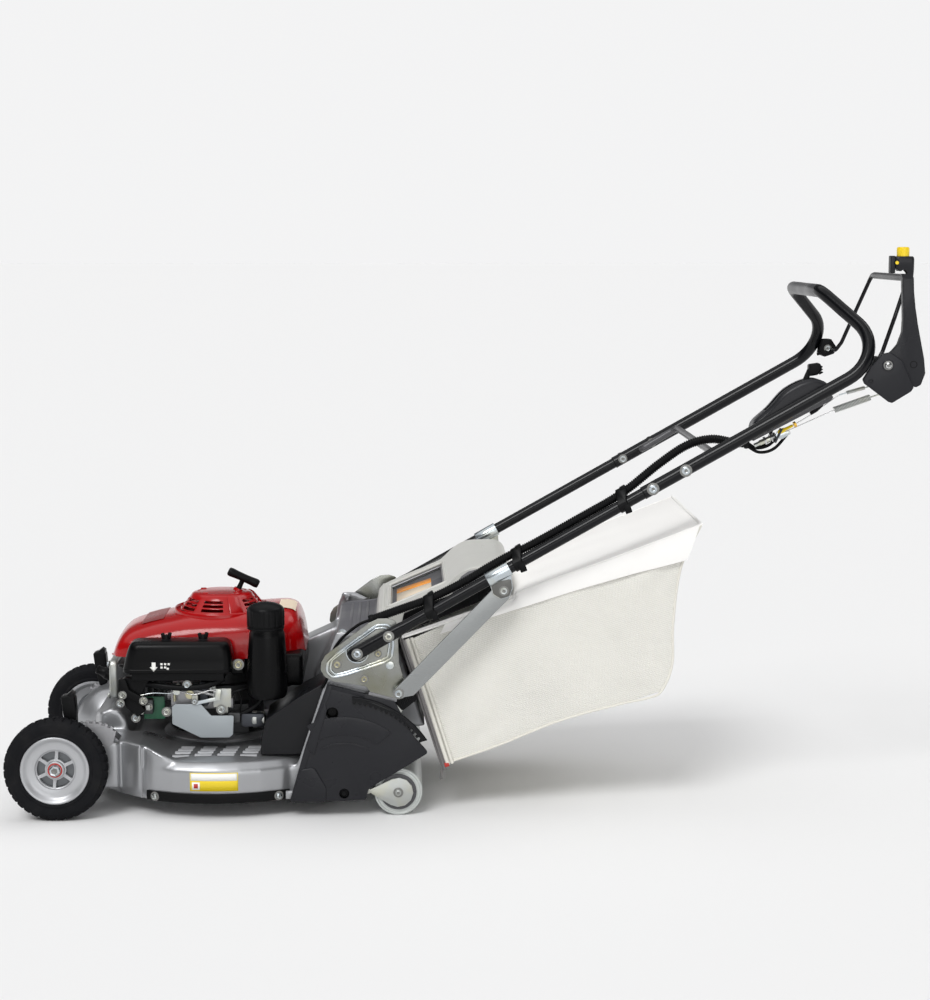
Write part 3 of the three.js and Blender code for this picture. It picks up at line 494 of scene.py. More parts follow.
def coil_points(start, end, radius, turns, per_turn):
    a, b = Vector(start), Vector(end)
    side = (b - a).normalized().orthogonal().normalized()
    other = (b - a).normalized().cross(side)
    steps = turns * per_turn
    points = []
    for k in range(steps + 1):
        turn = 2 * math.pi * k / per_turn
        points.append(a + (b - a) * k / steps
                      + (side * math.cos(turn) + other * math.sin(turn)) * radius)
    return points


def curve_points(points, count):
    """Evenly spaced points on a smooth curve through the given ones."""
    control = [Vector(p) for p in points]
    control = [control[0] * 2 - control[1]] + control + [control[-1] * 2 - control[-2]]
    dense = []
    for i in range(1, len(control) - 2):
        a, b, c, d = control[i - 1:i + 3]
        for k in range(20):
            t = k / 20
            dense.append(0.5 * (
                2 * b + (c - a) * t + (2 * a - 5 * b + 4 * c - d) * t * t
                + (3 * b - a - 3 * c + d) * t ** 3
            ))
    dense.append(control[-2])
    lengths = [0.0]
    for i in range(1, len(dense)):
        lengths.append(lengths[-1] + (dense[i] - dense[i - 1]).length)
    wanted = np.linspace(0, lengths[-1], count)
    table = np.array([list(p) for p in dense])
    return [
        Vector([float(np.interp(w, lengths, table[:, axis])) for axis in range(3)])
        for w in wanted
    ]


def mirrored(points):
    """The points, then the same ones on the other side of the machine, last one first."""
    return points + [(x, -y, z) for x, y, z in points[::-1]]


def rounded_corners(corners, radii, steps=8):
    line = [Vector(c) for c in corners]
    path = [line[0]]
    for i in range(1, len(line) - 1):
        radius = radii[i - 1] if hasattr(radii, "__len__") else radii
        back = (line[i - 1] - line[i]).normalized()
        ahead = (line[i + 1] - line[i]).normalized()
        half = back.angle(ahead) / 2
        centre = line[i] + (back + ahead).normalized() * (radius / math.sin(half))
        start = line[i] + back * (radius / math.tan(half)) - centre
        end = line[i] + ahead * (radius / math.tan(half)) - centre
        sweep = start.angle(end)
        for k in range(steps + 1):
            part = k / steps
            path.append(centre + (
                start * math.sin((1 - part) * sweep) + end * math.sin(part * sweep)
            ) / math.sin(sweep))
    path.append(line[-1])
    return path


def prism(name, first, second, material, body):
    """A closed form between two matching outlines."""
    count = len(first)
    faces = [list(range(count)), [count + i for i in range(count)][::-1]]
    for i in range(count):
        j = (i + 1) % count
        faces.append([i, j, count + j, count + i])
    return add_object(name, first + second, faces, material, body)


def add_plate(name, outline, y0, y1, material, body, width=1.0, segments=2):
    """Outline in X and Z, thickness along Y, edges rounded."""
    obj = prism(name, [at(x, y0, z) for x, z in outline], [at(x, y1, z) for x, z in outline],
                material, None)
    if width:
        bevel(obj, width, segments)
        smooth(obj)
    if body:
        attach(obj, body)
    return obj


def add_block(name, low, high, material, body, width=1.5, segments=2, turn=0.0):
    """A rounded block; turn leans it about Y through its middle."""
    middle = [(low[i] + high[i]) / 2 for i in range(3)]
    corners = []
    for x in (low[0], high[0]):
        for y in (low[1], high[1]):
            for z in (low[2], high[2]):
                dx, dz = x - middle[0], z - middle[2]
                corners.append(at(
                    middle[0] + dx * math.cos(turn) - dz * math.sin(turn), y,
                    middle[2] + dx * math.sin(turn) + dz * math.cos(turn),
                ))
    faces = [(0, 1, 3, 2), (4, 6, 7, 5), (0, 4, 5, 1), (2, 3, 7, 6), (0, 2, 6, 4), (1, 5, 7, 3)]
    obj = add_object(name, corners, faces, material, None)
    bevel(obj, width, segments)
    smooth(obj)
    if body:
        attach(obj, body)
    return obj


def arc(centre, radius, start, end, steps):
    return [
        (
            centre[0] + radius * math.cos(math.radians(start + (end - start) * i / steps)),
            centre[1] + radius * math.sin(math.radians(start + (end - start) * i / steps)),
        )
        for i in range(steps + 1)
    ]


# Bolts and screws are gathered per body and finish, then built as one mesh.
bolt_heaps = {}


def bolt(place, direction, radius, height=None, kind="hex", body="mower", finish="zinc",
         washer=True):
    bolt_heaps.setdefault((body, finish), []).append(
        (place, direction, radius, height or radius * 0.75, kind, washer)
    )


def build_bolts():
    for (body, finish), heap in sorted(bolt_heaps.items()):
        vertices, faces, shaded = [], [], []
        for place, direction, radius, height, kind, washer in heap:
            axis = Vector(direction).normalized()
            side = axis.orthogonal().normalized()
            other = axis.cross(side)
            rings = []
            if washer:
                rings += [(radius * 1.5, -0.2, 24), (radius * 1.5, 0.8, 24), (radius * 1.0, 1.1, 24)]
            if kind == "hex":
                rings += [(radius, 1.1, 6), (radius, height * 0.85, 6), (radius * 0.86, height, 6),
                          (radius * 0.6, height * 0.9, 6), (0.0, height * 0.85, 6)]
            else:
                rings += [(radius, 0.2, 24), (radius, height * 0.45, 24),
                          (radius * 0.85, height * 0.8, 24), (radius * 0.5, height, 24),
                          (radius * 0.38, height * 0.7, 24), (0.0, height * 0.65, 24)]
            sides = 24
            start = len(vertices)
            for ring_radius, along, shape in rings:
                for k in range(sides):
                    turn = 2 * math.pi * k / sides
                    reach = ring_radius
                    if shape == 6:
                        local = (turn % (math.pi / 3)) - math.pi / 6
                        reach = ring_radius * math.cos(math.pi / 6) / math.cos(local)
                    offset = side * math.cos(turn) + other * math.sin(turn)
                    vertices.append(at(*place) + (offset * reach + axis * along) / 1000)
            last = len(rings) - 2
            for r in range(len(rings) - 1):
                for k in range(sides):
                    a = start + r * sides + k
                    b = start + r * sides + (k + 1) % sides
                    faces.append([a, b, b + sides, a + sides])
                    shaded.append(r == last or (washer and r < 2))
        heads = add_object(f"fasteners_{body}_{finish}", vertices, faces, finish, body, 30)
        heads.data.materials.append(materials["washer_grey"])
        # Washer rings take the darker grey, partly their own finish and partly painted shade under
        # the head; the ring down into the head's top takes it as painted shade in the recess.
        for face, dark in zip(heads.data.polygons, shaded):
            face.material_index = 1 if dark and "black" not in finish else 0


def stack(name, rings, material, body, angle=40):
    """A closed form through rings of equal point counts, capped at both ends."""
    rings = [[at(*p) for p in ring] for ring in rings]
    return add_object(name, *stack_mesh(rings), material, body, angle)


def stack_mesh(rings):
    count = len(rings[0])
    vertices = [v for ring in rings for v in ring]
    faces = []
    for r in range(len(rings) - 1):
        for k in range(count):
            a, b = r * count + k, r * count + (k + 1) % count
            faces.append([a, b, b + count, a + count])
    faces.append(list(range(count))[::-1])
    faces.append([(len(rings) - 1) * count + k for k in range(count)])
    return vertices, faces


def rounded_rectangle(low_u, high_u, low_v, high_v, radius, steps=6):
    corners = (
        (high_u - radius, high_v - radius, 0), (low_u + radius, high_v - radius, 90),
        (low_u + radius, low_v + radius, 180), (high_u - radius, low_v + radius, 270),
    )
    outline = []
    for u, v, turn in corners:
        outline += arc((u, v), radius, turn, turn + 90, steps)
    return outline


def rounded_outline(points, radius, steps=5):
    """Closed outline with every corner rounded as far as its sides allow."""
    count = len(points)
    outline = []
    for i in range(count):
        corner = Vector(points[i])
        back = Vector(points[i - 1]) - corner
        ahead = Vector(points[(i + 1) % count]) - corner
        half = back.angle(ahead) / 2
        reach = min(radius / math.tan(half), back.length * 0.45, ahead.length * 0.45)
        start = corner + back.normalized() * reach
        end = corner + ahead.normalized() * reach
        for k in range(steps + 1):
            t = k / steps
            point = start * (1 - t) ** 2 + corner * 2 * t * (1 - t) + end * t * t
            outline.append((point.x, point.y))
    return outline


def cut_with(obj, cutters):
    for cutter in cutters:
        modifier = obj.modifiers.new("cut", "BOOLEAN")
        modifier.operation = "DIFFERENCE"
        modifier.solver = "MANIFOLD"
        modifier.object = cutter
        apply_modifiers(obj)
        bpy.data.objects.remove(cutter)


def merged(name, pieces, body):
    """Several meshes as one piece, their materials kept."""
    with bpy.context.temp_override(
        active_object=pieces[0], selected_editable_objects=pieces, object=pieces[0],
    ):
        bpy.ops.object.join()
    pieces[0].name = name
    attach(pieces[0], body)
    return pieces[0]


# --------------------------------------------------------------------- deck
def soft_casting(node, voxel, rounds, material, keep=None):
    """A CAD node as one casting, with every inside and outside corner rounded."""
    obj = bpy.data.objects.new(node + "_casting", nodes[node].data.copy())
    bpy.context.scene.collection.objects.link(obj)
    remesh = obj.modifiers.new("remesh", "REMESH")
    remesh.mode = "VOXEL"
    remesh.voxel_size = voxel / 1000
    apply_modifiers(obj)
    soften = obj.modifiers.new("soften", "SMOOTH")
    soften.factor = 0.6
    soften.iterations = rounds
    apply_modifiers(obj)
    if keep:
        thin = obj.modifiers.new("thin", "DECIMATE")
        thin.ratio = keep
        apply_modifiers(obj)
    obj.data.materials.clear()
    obj.data.materials.append(materials[material])
    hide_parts(node)
    return obj


def build_deck():
    deck = soft_casting("cutter_deck", 2.9, 22, "cast_silver", keep=0.4)
    slots = []
    for group in range(4):
        for row in range(4):
            start = 218 + group * 44 + row * 4
            y = -229 + row * 19.5
            outline = [(start, y), (start + 34 - row * 2, y), (start + 35 - row * 2, y + 8),
                       (start + 1, y + 8)]
            slots.append(prism(f"slot_{group}_{row}", [at(*p, 88) for p in outline],
                               [at(*p, 140) for p in outline], "cast_silver", None))
    cut_with(deck, slots)
    smooth(deck, 50)
    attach(deck, "mower")
    # Louvres seen through the slots.
    for group in range(4):
        pieces = []
        for row in range(4):
            start = 219 + group * 44 + row * 4
            y = -229 + row * 19.5
            drop = max(0.0, (math.hypot(start + 16 - BOWL_X, y) - 227) * 0.2)
            pieces.append(patch(f"louvre_{group}_{row}", [
                [(start, y + 1.2, 114.4 - drop), (start + 33 - row * 2, y + 1.2, 114.4 - drop)],
                [(start + 0.5, y + 4, 117.6 - drop), (start + 33.5 - row * 2, y + 4, 117.6 - drop)],
                [(start + 1, y + 7.6, 118.6 - drop), (start + 34 - row * 2, y + 7.6, 118.6 - drop)],
            ], "rim_silver", None, 0.0012, 60))
        merged(f"grille_louvre_{group}", pieces, "mower")
    for side, label in SIDES:
        # Crisp toothed plate over the cast one, and the lever's pivot bolt.
        outline = []
        for i in range(21):
            turn = math.radians(54 + i * 4.1)
            for radius in ((88.5, 83) if i % 2 == 0 else (83, 88.5)):
                outline.append((60 + radius * math.cos(turn), 95 + radius * math.sin(turn)))
        outline += [(28, 135), (36, 130), (92, 130), (104, 137)]
        low, high = span(side, 210.2, 216.6)
        add_plate(f"tooth_plate_{label}", outline, low, high, "bracket_grey", "mower", 0.5)
        bolt((60, side * 226.5, 95), (0, side, 0), 7, 6, "hex", f"height_lever_{label}")
        for x, z in ((543, 302), (622, 323)):
            turned(
                f"wall_boss_{x}_{label}",
                [(8.6, 0), (9, 1), (9, 21), (8, 22.3)], (x, side * 234, z), (0, side, 0),
                "cast_silver", "mower", 32,
            )
        turned(
            f"roller_boss_{label}", [(12, 0), (12, 16), (11, 17.6)],
            (PIVOT_X, side * 234.5, PIVOT_Z), (0, side, 0), "cast_silver", "mower", 32,
        )
        refine(
            f"side_strip_{label}", "black_plastic", 1.4, 3, 40,
        )
        for x in (188, 428):
            y = side * (math.sqrt(279.5 ** 2 - (x - BOWL_X) ** 2))
            normal = Vector((x - BOWL_X, y, 0)).normalized()
            bolt((x, y, 42), normal, 6.2, 5.5, "screw")
        # Lug at the strip's rear end.
        add_block(
            f"strip_lug_{label}",
            (441, min(side * 238, side * 251), 34),
            (459, max(side * 238, side * 251), 50), "cast_silver", "mower", 1.5,
        )
        # Rounded housing of the casting, inboard of the wheel.
        dome = turned(
            f"wheel_dome_{label}",
            [(0.4, 0), (24, 1.5), (27, 5), (44, 8), (52, 14), (66, 24), (74, 36), (78, 52),
             (78, 92), (0.4, 92)],
            (52, side * 108, 92), (0, side, 0), "cast_silver", None, 96, 34,
        )
        tools = [
            turned(f"dome_tool_{label}", [(0.4, -20), (272, -20), (272, 111), (0.4, 111)],
                   (BOWL_X, 0, 0), (0, 0, 1), "cast_silver", None, 64),
            add_block(f"dome_floor_{label}", (-60, -230, -30), (180, 230, 58), "cast_silver",
                      None, 0),
        ]
        cut_with(dome, tools)
        smooth(dome, 34)
        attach(dome, "mower")
    # Seam rib where the horn meets the bowl.
    rib = [(161.5, -239.6, 36), (162, -239.8, 60), (162, -239.8, 120), (162.5, -238.5, 134),
           (165, -228, 137.5)]
    add_tube("horn_rib", curve_points(rib, 12), 1.6, "cast_silver", "mower", 8)
    # Round skirt bead at the bottom edge of the bowl.
    bead = [
        (BOWL_X + 275.4 * math.cos(t), 275.4 * math.sin(t), 31.5)
        for t in (math.radians(a) for a in range(148, 213, 4))
    ]
    add_tube("skirt_bead_front", bead, 1.8, "cast_silver", "mower", 8)


def curved_patch(name, start, end, low, high, radius, material, lift=0.4):
    """A thin label that follows the round side of the bowl."""
    vertices, faces = [], []
    steps = 24
    for i in range(steps + 1):
        x = start + (end - start) * i / steps
        y = -math.sqrt((radius + lift) ** 2 - (x - BOWL_X) ** 2)
        vertices += [at(x, y, low), at(x, y, high)]
        if i:
            k = 2 * i
            faces.append([k - 2, k, k + 1, k - 1])
    obj = add_object(name, vertices, faces, material, None)
    thicken(obj, 0.3, -1)
    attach(obj, "mower")
    return obj


def build_deck_labels():
    curved_patch("deck_label", 258, 351, 57, 93, 275.2, "sticker_yellow", 0.35)
    curved_patch("deck_label_top", 259.5, 349.5, 77.5, 91.5, 275.2, "sticker_white", 0.75)
    curved_patch("deck_label_symbol", 262, 277, 59.5, 74.5, 275.2, "sticker_white", 0.75)
    curved_patch("deck_label_symbol_mark", 265.5, 273.5, 62.5, 71.5, 275.2, "red_paint", 1.05)


# ------------------------------------------------------------------- wheels
def build_wheels():
    for side, label in SIDES:
        wheel = f"wheel_{label}"
        hub = (0, side * WHEEL_FACE, WHEEL_Z)
        lugs = 36
        per_lug = 6
        sides = lugs * per_lug
        # Half of the section, outer shoulder first; mirrored for the inner half.
        half = [
            (66.4, 3.2), (68, 0.8), (71, 0.2), (74, 1.6), (77, 1.2), (84, 0.3), (88, 0.8),
            (90.5, 1.8), (92, 3.6), (95, 5.2), (98.4, 8), (99.6, 13), (100, 20), (100, 21.4),
            (96.6, 21.6), (96.6, 23.4),
        ]
        section = half + [(r, 47 - a) for r, a in reversed(half)]
        section.append(section[0])
        count = len(section)
        vertices, faces = [], []
        for i in range(sides):
            turn = 2 * math.pi * i / sides
            for k, (radius, along) in enumerate(section[:-1]):
                shift = 0 if k < count / 2 else per_lug // 2
                phase = (i + shift) % per_lug
                if radius > 91.5:
                    groove = 2.6 if phase == 0 else 0
                    if radius > 96.9:
                        radius -= groove
                    elif radius < 96:
                        radius -= groove * 0.5
                vertices.append(at(
                    radius * math.cos(turn), side * (WHEEL_FACE - along),
                    WHEEL_Z + radius * math.sin(turn),
                ))
        for i in range(sides):
            after = (i + 1) % sides
            for k in range(count - 1):
                j = (k + 1) % (count - 1)
                faces.append([
                    i * (count - 1) + k, i * (count - 1) + j,
                    after * (count - 1) + j, after * (count - 1) + k,
                ])
        tyre = add_object(f"tyre_{label}", vertices, faces, "tyre", wheel, 28)
        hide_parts(f"front_tyre_{label}")

        profile = [
            (8.4, 8.2), (14.5, 8.2), (16.6, 9.0), (17.4, 10.5), (17.8, 14.6), (20, 15.2),
            (36, 14.8), (38.2, 14.0), (39.5, 11.6), (42, 10.6), (48, 10.2), (53, 9.4),
            (56.5, 7.6), (59.5, 4.6), (62, 2.6), (64.5, 1.9), (66.2, 2.6), (66.4, 5),
            (66.2, 44.4), (60.5, 43.4), (58, 40), (52, 23.5), (40, 21.8), (20, 22.5),
            (17.4, 26), (17, 41), (8.4, 41), (8.4, 8.2),
        ]
        rim = turned(f"rim_{label}", profile, hub, (0, -side, 0),
                     "rim_silver", wheel, 96, 32)
        windows = []
        for i in range(6):
            middle = 55 + i * 60
            outer = arc((0, 100), 36.2, middle - 25.5, middle + 25.5, 8)
            inner = arc((0, 100), 20.4, middle + 21, middle - 21, 5)
            outline = rounded_outline(outer + inner, 1.6, 2)
            low, high = span(side, 290, 240)
            windows.append(
                add_plate(f"window_{label}_{i}", outline, low, high, "rim_silver", None, 0)
            )
        cut_with(rim, windows)
        bevel(rim, 0.7, 2, 40)
        smooth(rim, 32)
        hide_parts(f"front_rim_{label}")
        # Darker disc behind the windows: painted shade seen through them.
        turned(f"rim_well_{label}", [(18.5, 24), (18.5, 25.4), (37, 25.4), (37, 24),
                                     (18.5, 24)],
               hub, (0, -side, 0), "well_grey", wheel, 48)
        turned(f"red_ring_{label}", [(11.5, 7.6), (13.9, 7.6), (14.3, 8.0), (13.9, 8.6),
                                     (11.5, 8.6), (11.5, 7.6)],
               hub, (0, -side, 0), "red_paint", wheel, 48)

        # Lever: arm, stub axle and grip, with its head bolt.
        refine(f"front_height_lever_{label}", "black_plastic", 1.3, 3, 35)
        bolt((0, side * 273.4, 100), (0, side, 0), 11.0, 8.6, "hex", f"height_lever_{label}",
             washer=False)
        grip = [
            (20, 162), (36, 170), (36, 208), (34, 233), (20, 238), (7, 234), (11, 200),
        ]
        low, high = span(side, 231, 202)
        add_plate(f"lever_grip_{label}", rounded_outline(grip, 4), low, high,
                  "black_plastic", f"height_lever_{label}", 3.5, 3)


# ------------------------------------------------------------------- engine
def build_shroud():
    """Engine cover as one smooth hood lofted along the machine."""
    spine = [
        (88, 291, 66, 289), (89.5, 298, 76, 289), (93, 308, 90, 289), (99, 321, 101, 289),
        (109, 333, 107, 289), (122, 341, 110, 289), (140, 347.5, 112, 288), (165, 354.5, 115, 287),
        (200, 362, 119, 286), (240, 369, 123, 285), (300, 373.5, 125, 284), (345, 375, 125, 286),
        (385, 377, 123, 290), (415, 379, 120, 295), (434, 379.5, 116, 298),
        (449, 376.5, 108, 298), (459, 368, 98, 297), (466, 352, 88, 296), (471, 330, 78, 295),
        (474, 306, 68, 294), (475, 296, 62, 293),
    ]
    table = np.array(spine, dtype=float)
    path = curve_points([(p[0], p[1], 0) for p in spine], 60)
    rows = []
    for point in path:
        x = point.x
        top = point.y
        half = float(np.interp(x, table[:, 0], table[:, 2]))
        low = float(np.interp(x, table[:, 0], table[:, 3]))
        row = []
        for k in range(61):
            turn = math.pi * k / 60
            c, s = math.cos(turn), math.sin(turn)
            y = -half * math.copysign(abs(c) ** 0.42, c)
            lift = abs(s) ** 0.5
            y += math.copysign(1, -c) * (1 - lift) * 3
            z = low + max(top - low, 0.5) * lift
            # Crown across the top and a soft shoulder line on each side.
            z -= 7 * (y / half) ** 2 * lift
            row.append((x, y, z))
        rows.append(row)
    count = len(rows[0])
    vertices = [at(*p) for row in rows for p in row]
    faces = []
    for r in range(len(rows) - 1):
        for k in range(count - 1):
            a = r * count + k
            middle = (vertices[a] + vertices[a + count + 1]) / 2 - at(CRANK_X, 0, 0)
            if math.hypot(middle.x, middle.y) < 0.088 and middle.z > 0.33:
                continue
            faces.append([a, a + 1, a + count + 1, a + count])
    shroud = add_object("engine_hood", vertices, faces, "red_gloss", None, 60)
    thicken(shroud, 3, -1)
    smooth(shroud, 60)
    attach(shroud, "mower")
    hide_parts("engine_shroud")
    turned(
        "hood_collar",
        [(98, 365), (97, 369), (95.6, 371.4), (94.4, 372), (93.2, 371), (92.8, 367),
         (89, 352), (86, 352), (88, 360), (92, 362), (98, 361), (98, 365)],
        (CRANK_X, 0, 0), (0, 0, 1), "red_gloss", "mower", 96, 50,
    )
    # Blank rating label on the rear of the hood.
    label = []
    for i in range(9):
        x = 420 + 34 * i / 8
        z = float(np.interp(x, table[:, 0], table[:, 1])) - 0.8
        label.append([(x, y, z - 7 * (y / 118) ** 2 + 1.9) for y in np.linspace(-62, 28, 9)])
    patch("hood_label", label, "sticker_cream", "mower")
    stripe = []
    for i in range(5):
        x = 146 + 44 * i / 4
        z = float(np.interp(x, table[:, 0], table[:, 1]))
        stripe.append([(x, y, z - 7 * (y / 112) ** 2 + 0.5) for y in np.linspace(-66, 66, 13)])
    patch("hood_panel", stripe, "red_trim", "mower")


def patch(name, rows, material, body, thickness=0.0004, angle=60):
    """An open sheet through a grid of points, given a small thickness."""
    count = len(rows[0])
    vertices = [at(*p) for row in rows for p in row]
    faces = [
        [r * count + k, r * count + k + 1, (r + 1) * count + k + 1, (r + 1) * count + k]
        for r in range(len(rows) - 1) for k in range(count - 1)
    ]
    obj = add_object(name, vertices, faces, material, None, angle)
    thicken(obj, thickness * 1000)
    smooth(obj, angle)
    if body:
        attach(obj, body)
    return obj


def build_recoil():
    rows = [(91.8, 352.5), (92.4, 354.5), (92.4, 359), (91.2, 362)]
    # Cone with four rows of slots, then the crowned top.
    foot, crown = Vector((91.2, 362)), Vector((62.5, 396.5))
    marks = [0.07, 0.22, 0.30, 0.45, 0.53, 0.67, 0.75, 0.88, 1.0]
    for mark in marks:
        point = foot.lerp(crown, mark)
        rows.append((point.x, point.y))
    open_rows = {4 + i for i in (0, 2, 4, 6)}
    rows += [(60.5, 399.6), (57, 401.6), (50, 402.6), (49, 401.8), (47.5, 401.8), (46.5, 402.8),
             (30, 403.6), (12, 404), (0.5, 404.1)]
    columns = [-145, -101, -32, 10, 53, 96, 139, 178]
    sides = 120
    vertices, faces = [], []
    for radius, z in rows:
        for i in range(sides):
            turn = math.radians(i * 3)
            vertices.append(at(CRANK_X + radius * math.cos(turn), radius * math.sin(turn), z))
    for r in range(len(rows) - 1):
        for i in range(sides):
            angle = i * 3 + 1.5
            gaps = [abs((angle - c + 180) % 360 - 180) for c in columns]
            if r in open_rows and min(gaps) < 17:
                continue
            j = (i + 1) % sides
            faces.append([r * sides + i, r * sides + j, (r + 1) * sides + j, (r + 1) * sides + i])
    faces.append([(len(rows) - 1) * sides + i for i in range(sides)])
    cover = add_object("recoil_housing", vertices, faces, "red_gloss", None, 32)
    thicken(cover, 2.6, -1)
    bevel(cover, 0.5, 2, 50)
    smooth(cover, 34)
    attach(cover, "mower")
    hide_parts("recoil_cover")
    # Rope guide on the near side and the raised flats on the top.
    for turn, half in ((-66, 9.5), (24, 7)):
        outline = []
        for radius, z in ((93.6, 360), (93.6, 366), (66, 399), (62, 401.5), (58, 398), (84, 362)):
            outline.append((radius, z))
        ring = []
        for spread in (-half, -half + 1.5, half - 1.5, half):
            lift = 0 if abs(spread) < half else -1.6
            angle = math.radians(turn + spread)
            ring.append([
                (CRANK_X + (r + lift) * math.cos(angle), (r + lift) * math.sin(angle), z)
                for r, z in outline
            ])
        stack(f"rope_guide_{abs(turn)}", ring, "red_gloss", "mower", 40)
    for x, y in ((270, -26), (262, 30)):
        turned(f"cover_stud_{x}", [(6.5, 402.4), (6.2, 403.8), (5.4, 404.3), (0.4, 404.4)],
               (x, y, 0), (0, 0, 1), "red_gloss", "mower", 24)
    # Grip, stem and the rope that runs out to the stem.
    bar = [
        (315.2, 443.8, 5.0), (316.0, 443.4, 7.4), (318.2, 442.4, 8.8), (322, 440.7, 9.2),
        (328, 438, 8.7), (338, 433.4, 8.2), (346, 429.7, 8.2), (354, 426, 8.2),
        (364, 421.4, 8.7), (370, 418.6, 9.2), (373.8, 416.9, 8.8), (376, 415.9, 7.4),
        (376.8, 415.5, 5.0),
    ]
    grip = add_tube("starter_bar", [(x, 0, z) for x, z, _ in bar], [r for *_, r in bar],
                    "black_plastic", "starter", 28, angle=60)
    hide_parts("starter_grip")
    add_block("starter_bar_slot", (333, -9.1, 426), (359, 9.1, 433), "black_plastic",
              "starter", 1.2, 2, math.radians(-24.9))
    stem = [(346, 429, 6.4), (343.6, 424, 5.2), (340.6, 417.5, 4.8), (337, 409.7, 5.4),
            (334.4, 404.2, 6.8), (333.6, 402.4, 6.8)]
    add_tube("starter_stem", [(x, 0, z) for x, z, _ in stem], [r for *_, r in stem],
             "black_plastic", "starter", 24, angle=60)
    collar = [(336.2, 408, 9.0), (335.2, 405.8, 9.6), (333.6, 402.4, 10.4)]
    add_tube("rope_outlet", [(x, 0, z) for x, z, _ in collar], [r for *_, r in collar],
             "red_gloss", "mower", 28)
    # Rope from the reel to the stem.
    start = Vector((333.2, 0, 401.5))
    lean = Vector((0.42, 0, 0.9075)).normalized()
    points = [start - lean * 26 + lean * (24 * i / 160) for i in range(161)]
    rope = add_tube("starter_rope", points, 2.1, "rope", None, 8, angle=38)
    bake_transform(rope)


def build_air_cleaner():
    levels = [
        (274.3, 123.5, 336.5, -205.5, -129.5, 20), (275.3, 122.6, 337.4, -206.3, -129, 20),
        (281, 122.6, 337.4, -206.3, -129, 20), (282.2, 123.4, 336.8, -205.6, -129.4, 20),
        (300, 127.0, 336.0, -205.2, -129.6, 20), (318, 132.4, 333.6, -204.2, -130.6, 20),
        (325.5, 135.2, 331.6, -202.6, -132.0, 20), (330.4, 138.6, 328.4, -199.6, -134.4, 18),
        (333.2, 143.0, 324.0, -195.6, -138.0, 16), (334.0, 148.5, 318.5, -190.4, -143.0, 12),
        (334.5, 165.0, 302.0, -178.0, -155.0, 6),
    ]
    rings = [
        [(x, y, z) for x, y in rounded_rectangle(x0, x1, y0, y1, radius)]
        for z, x0, x1, y0, y1, radius in levels
    ]
    cover = stack("air_cleaner_lid", rings, "black_satin", "mower", 30)
    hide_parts("air_cleaner_cover")
    for x in (205.5, 277.5):
        base = turned(f"wing_knob_base_{x:.0f}",
                      [(9.5, 333.8), (9.2, 335.2), (6.2, 335.8), (5.6, 342), (4.6, 343.6),
                       (0.4, 344)],
                      (x, -164, 0), (0, 0, 1), "black_plastic", None, 28)
        wings = [
            add_block(f"wing_{x:.0f}_{k}", (x - 10 + 12.5 * k, -167, 335.6),
                      (x - 2.5 + 12.5 * k, -161, 347.2 + k), "black_plastic", None, 2.2, 3,
                      math.radians(14 - 28 * k))
            for k in range(2)
        ]
        merged(f"wing_knob_{x:.0f}", [base, *wings], "mower")
        turned(f"knob_washer_{x:.0f}", [(11, 333.6), (11.2, 334.6), (9, 334.9), (0.4, 334.9)],
               (x, -164, 0), (0, 0, 1), "dark_steel", "mower", 28)
    # Small white arrow and a blank symbol box on the lid.
    def flat(name, outline, material, depth):
        vertices = []
        for x, z in outline:
            y = -206.2 + (z - 282) * 0.03
            vertices.append((x, y - depth, z))
        obj = add_object(name, [at(*v) for v in vertices], [list(range(len(vertices)))],
                         material, None)
        thicken(obj, 0.4)
        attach(obj, "mower")
    flat("lid_arrow", [(181, 296.5), (188.6, 296.5), (188.6, 287.6), (192.4, 287.6),
                       (184.8, 278.6), (177.2, 287.6), (181, 287.6)], "sticker_white", 0.2)
    for i, (x, z) in enumerate(((200, 293), (207, 293), (200, 286.5), (207, 286.5), (214, 293),
                                (212, 284))):
        flat(f"lid_symbol_{i}", [(x - 2.3, z - 1.8), (x + 2.1, z - 2.2), (x + 2.5, z + 1.8),
                                 (x - 1.9, z + 2.2)], "sticker_white", 0.2)
    refine("air_cleaner_base", "black_plastic", 1.6, 3, 35)
    # Bracket arm down to the engine, breather hose and the lid's side bolt.
    arm = rounded_outline([(114, 262), (128, 262), (135, 240), (168, 222), (170, 210),
                           (158, 208), (128, 226), (113, 236)], 4)
    add_plate("cleaner_bracket", arm, -196, -189, "black_satin", "mower", 1.5, 3)
    for x, z in ((121.8, 230), (117.5, 213.6), (162.5, 218.2)):
        bolt((x, -196, z), (0, -1, 0), 5.6, 6.5, "hex")
    bolt((345.5, -150, 276), (0, -1, 0), 7.5, 6.5, "hex")
    hose = curve_points([(168, -182, 249), (205, -193, 246), (245, -195, 243.5),
                         (285, -192, 247), (318, -180, 258)], 40)
    add_tube("breather_hose", hose, 6.2, "black_plastic", "mower", 16)
    add_block("cleaner_mount", (330, -158, 262), (357, -140, 290), "black_plastic",
              "mower", 4, 3)


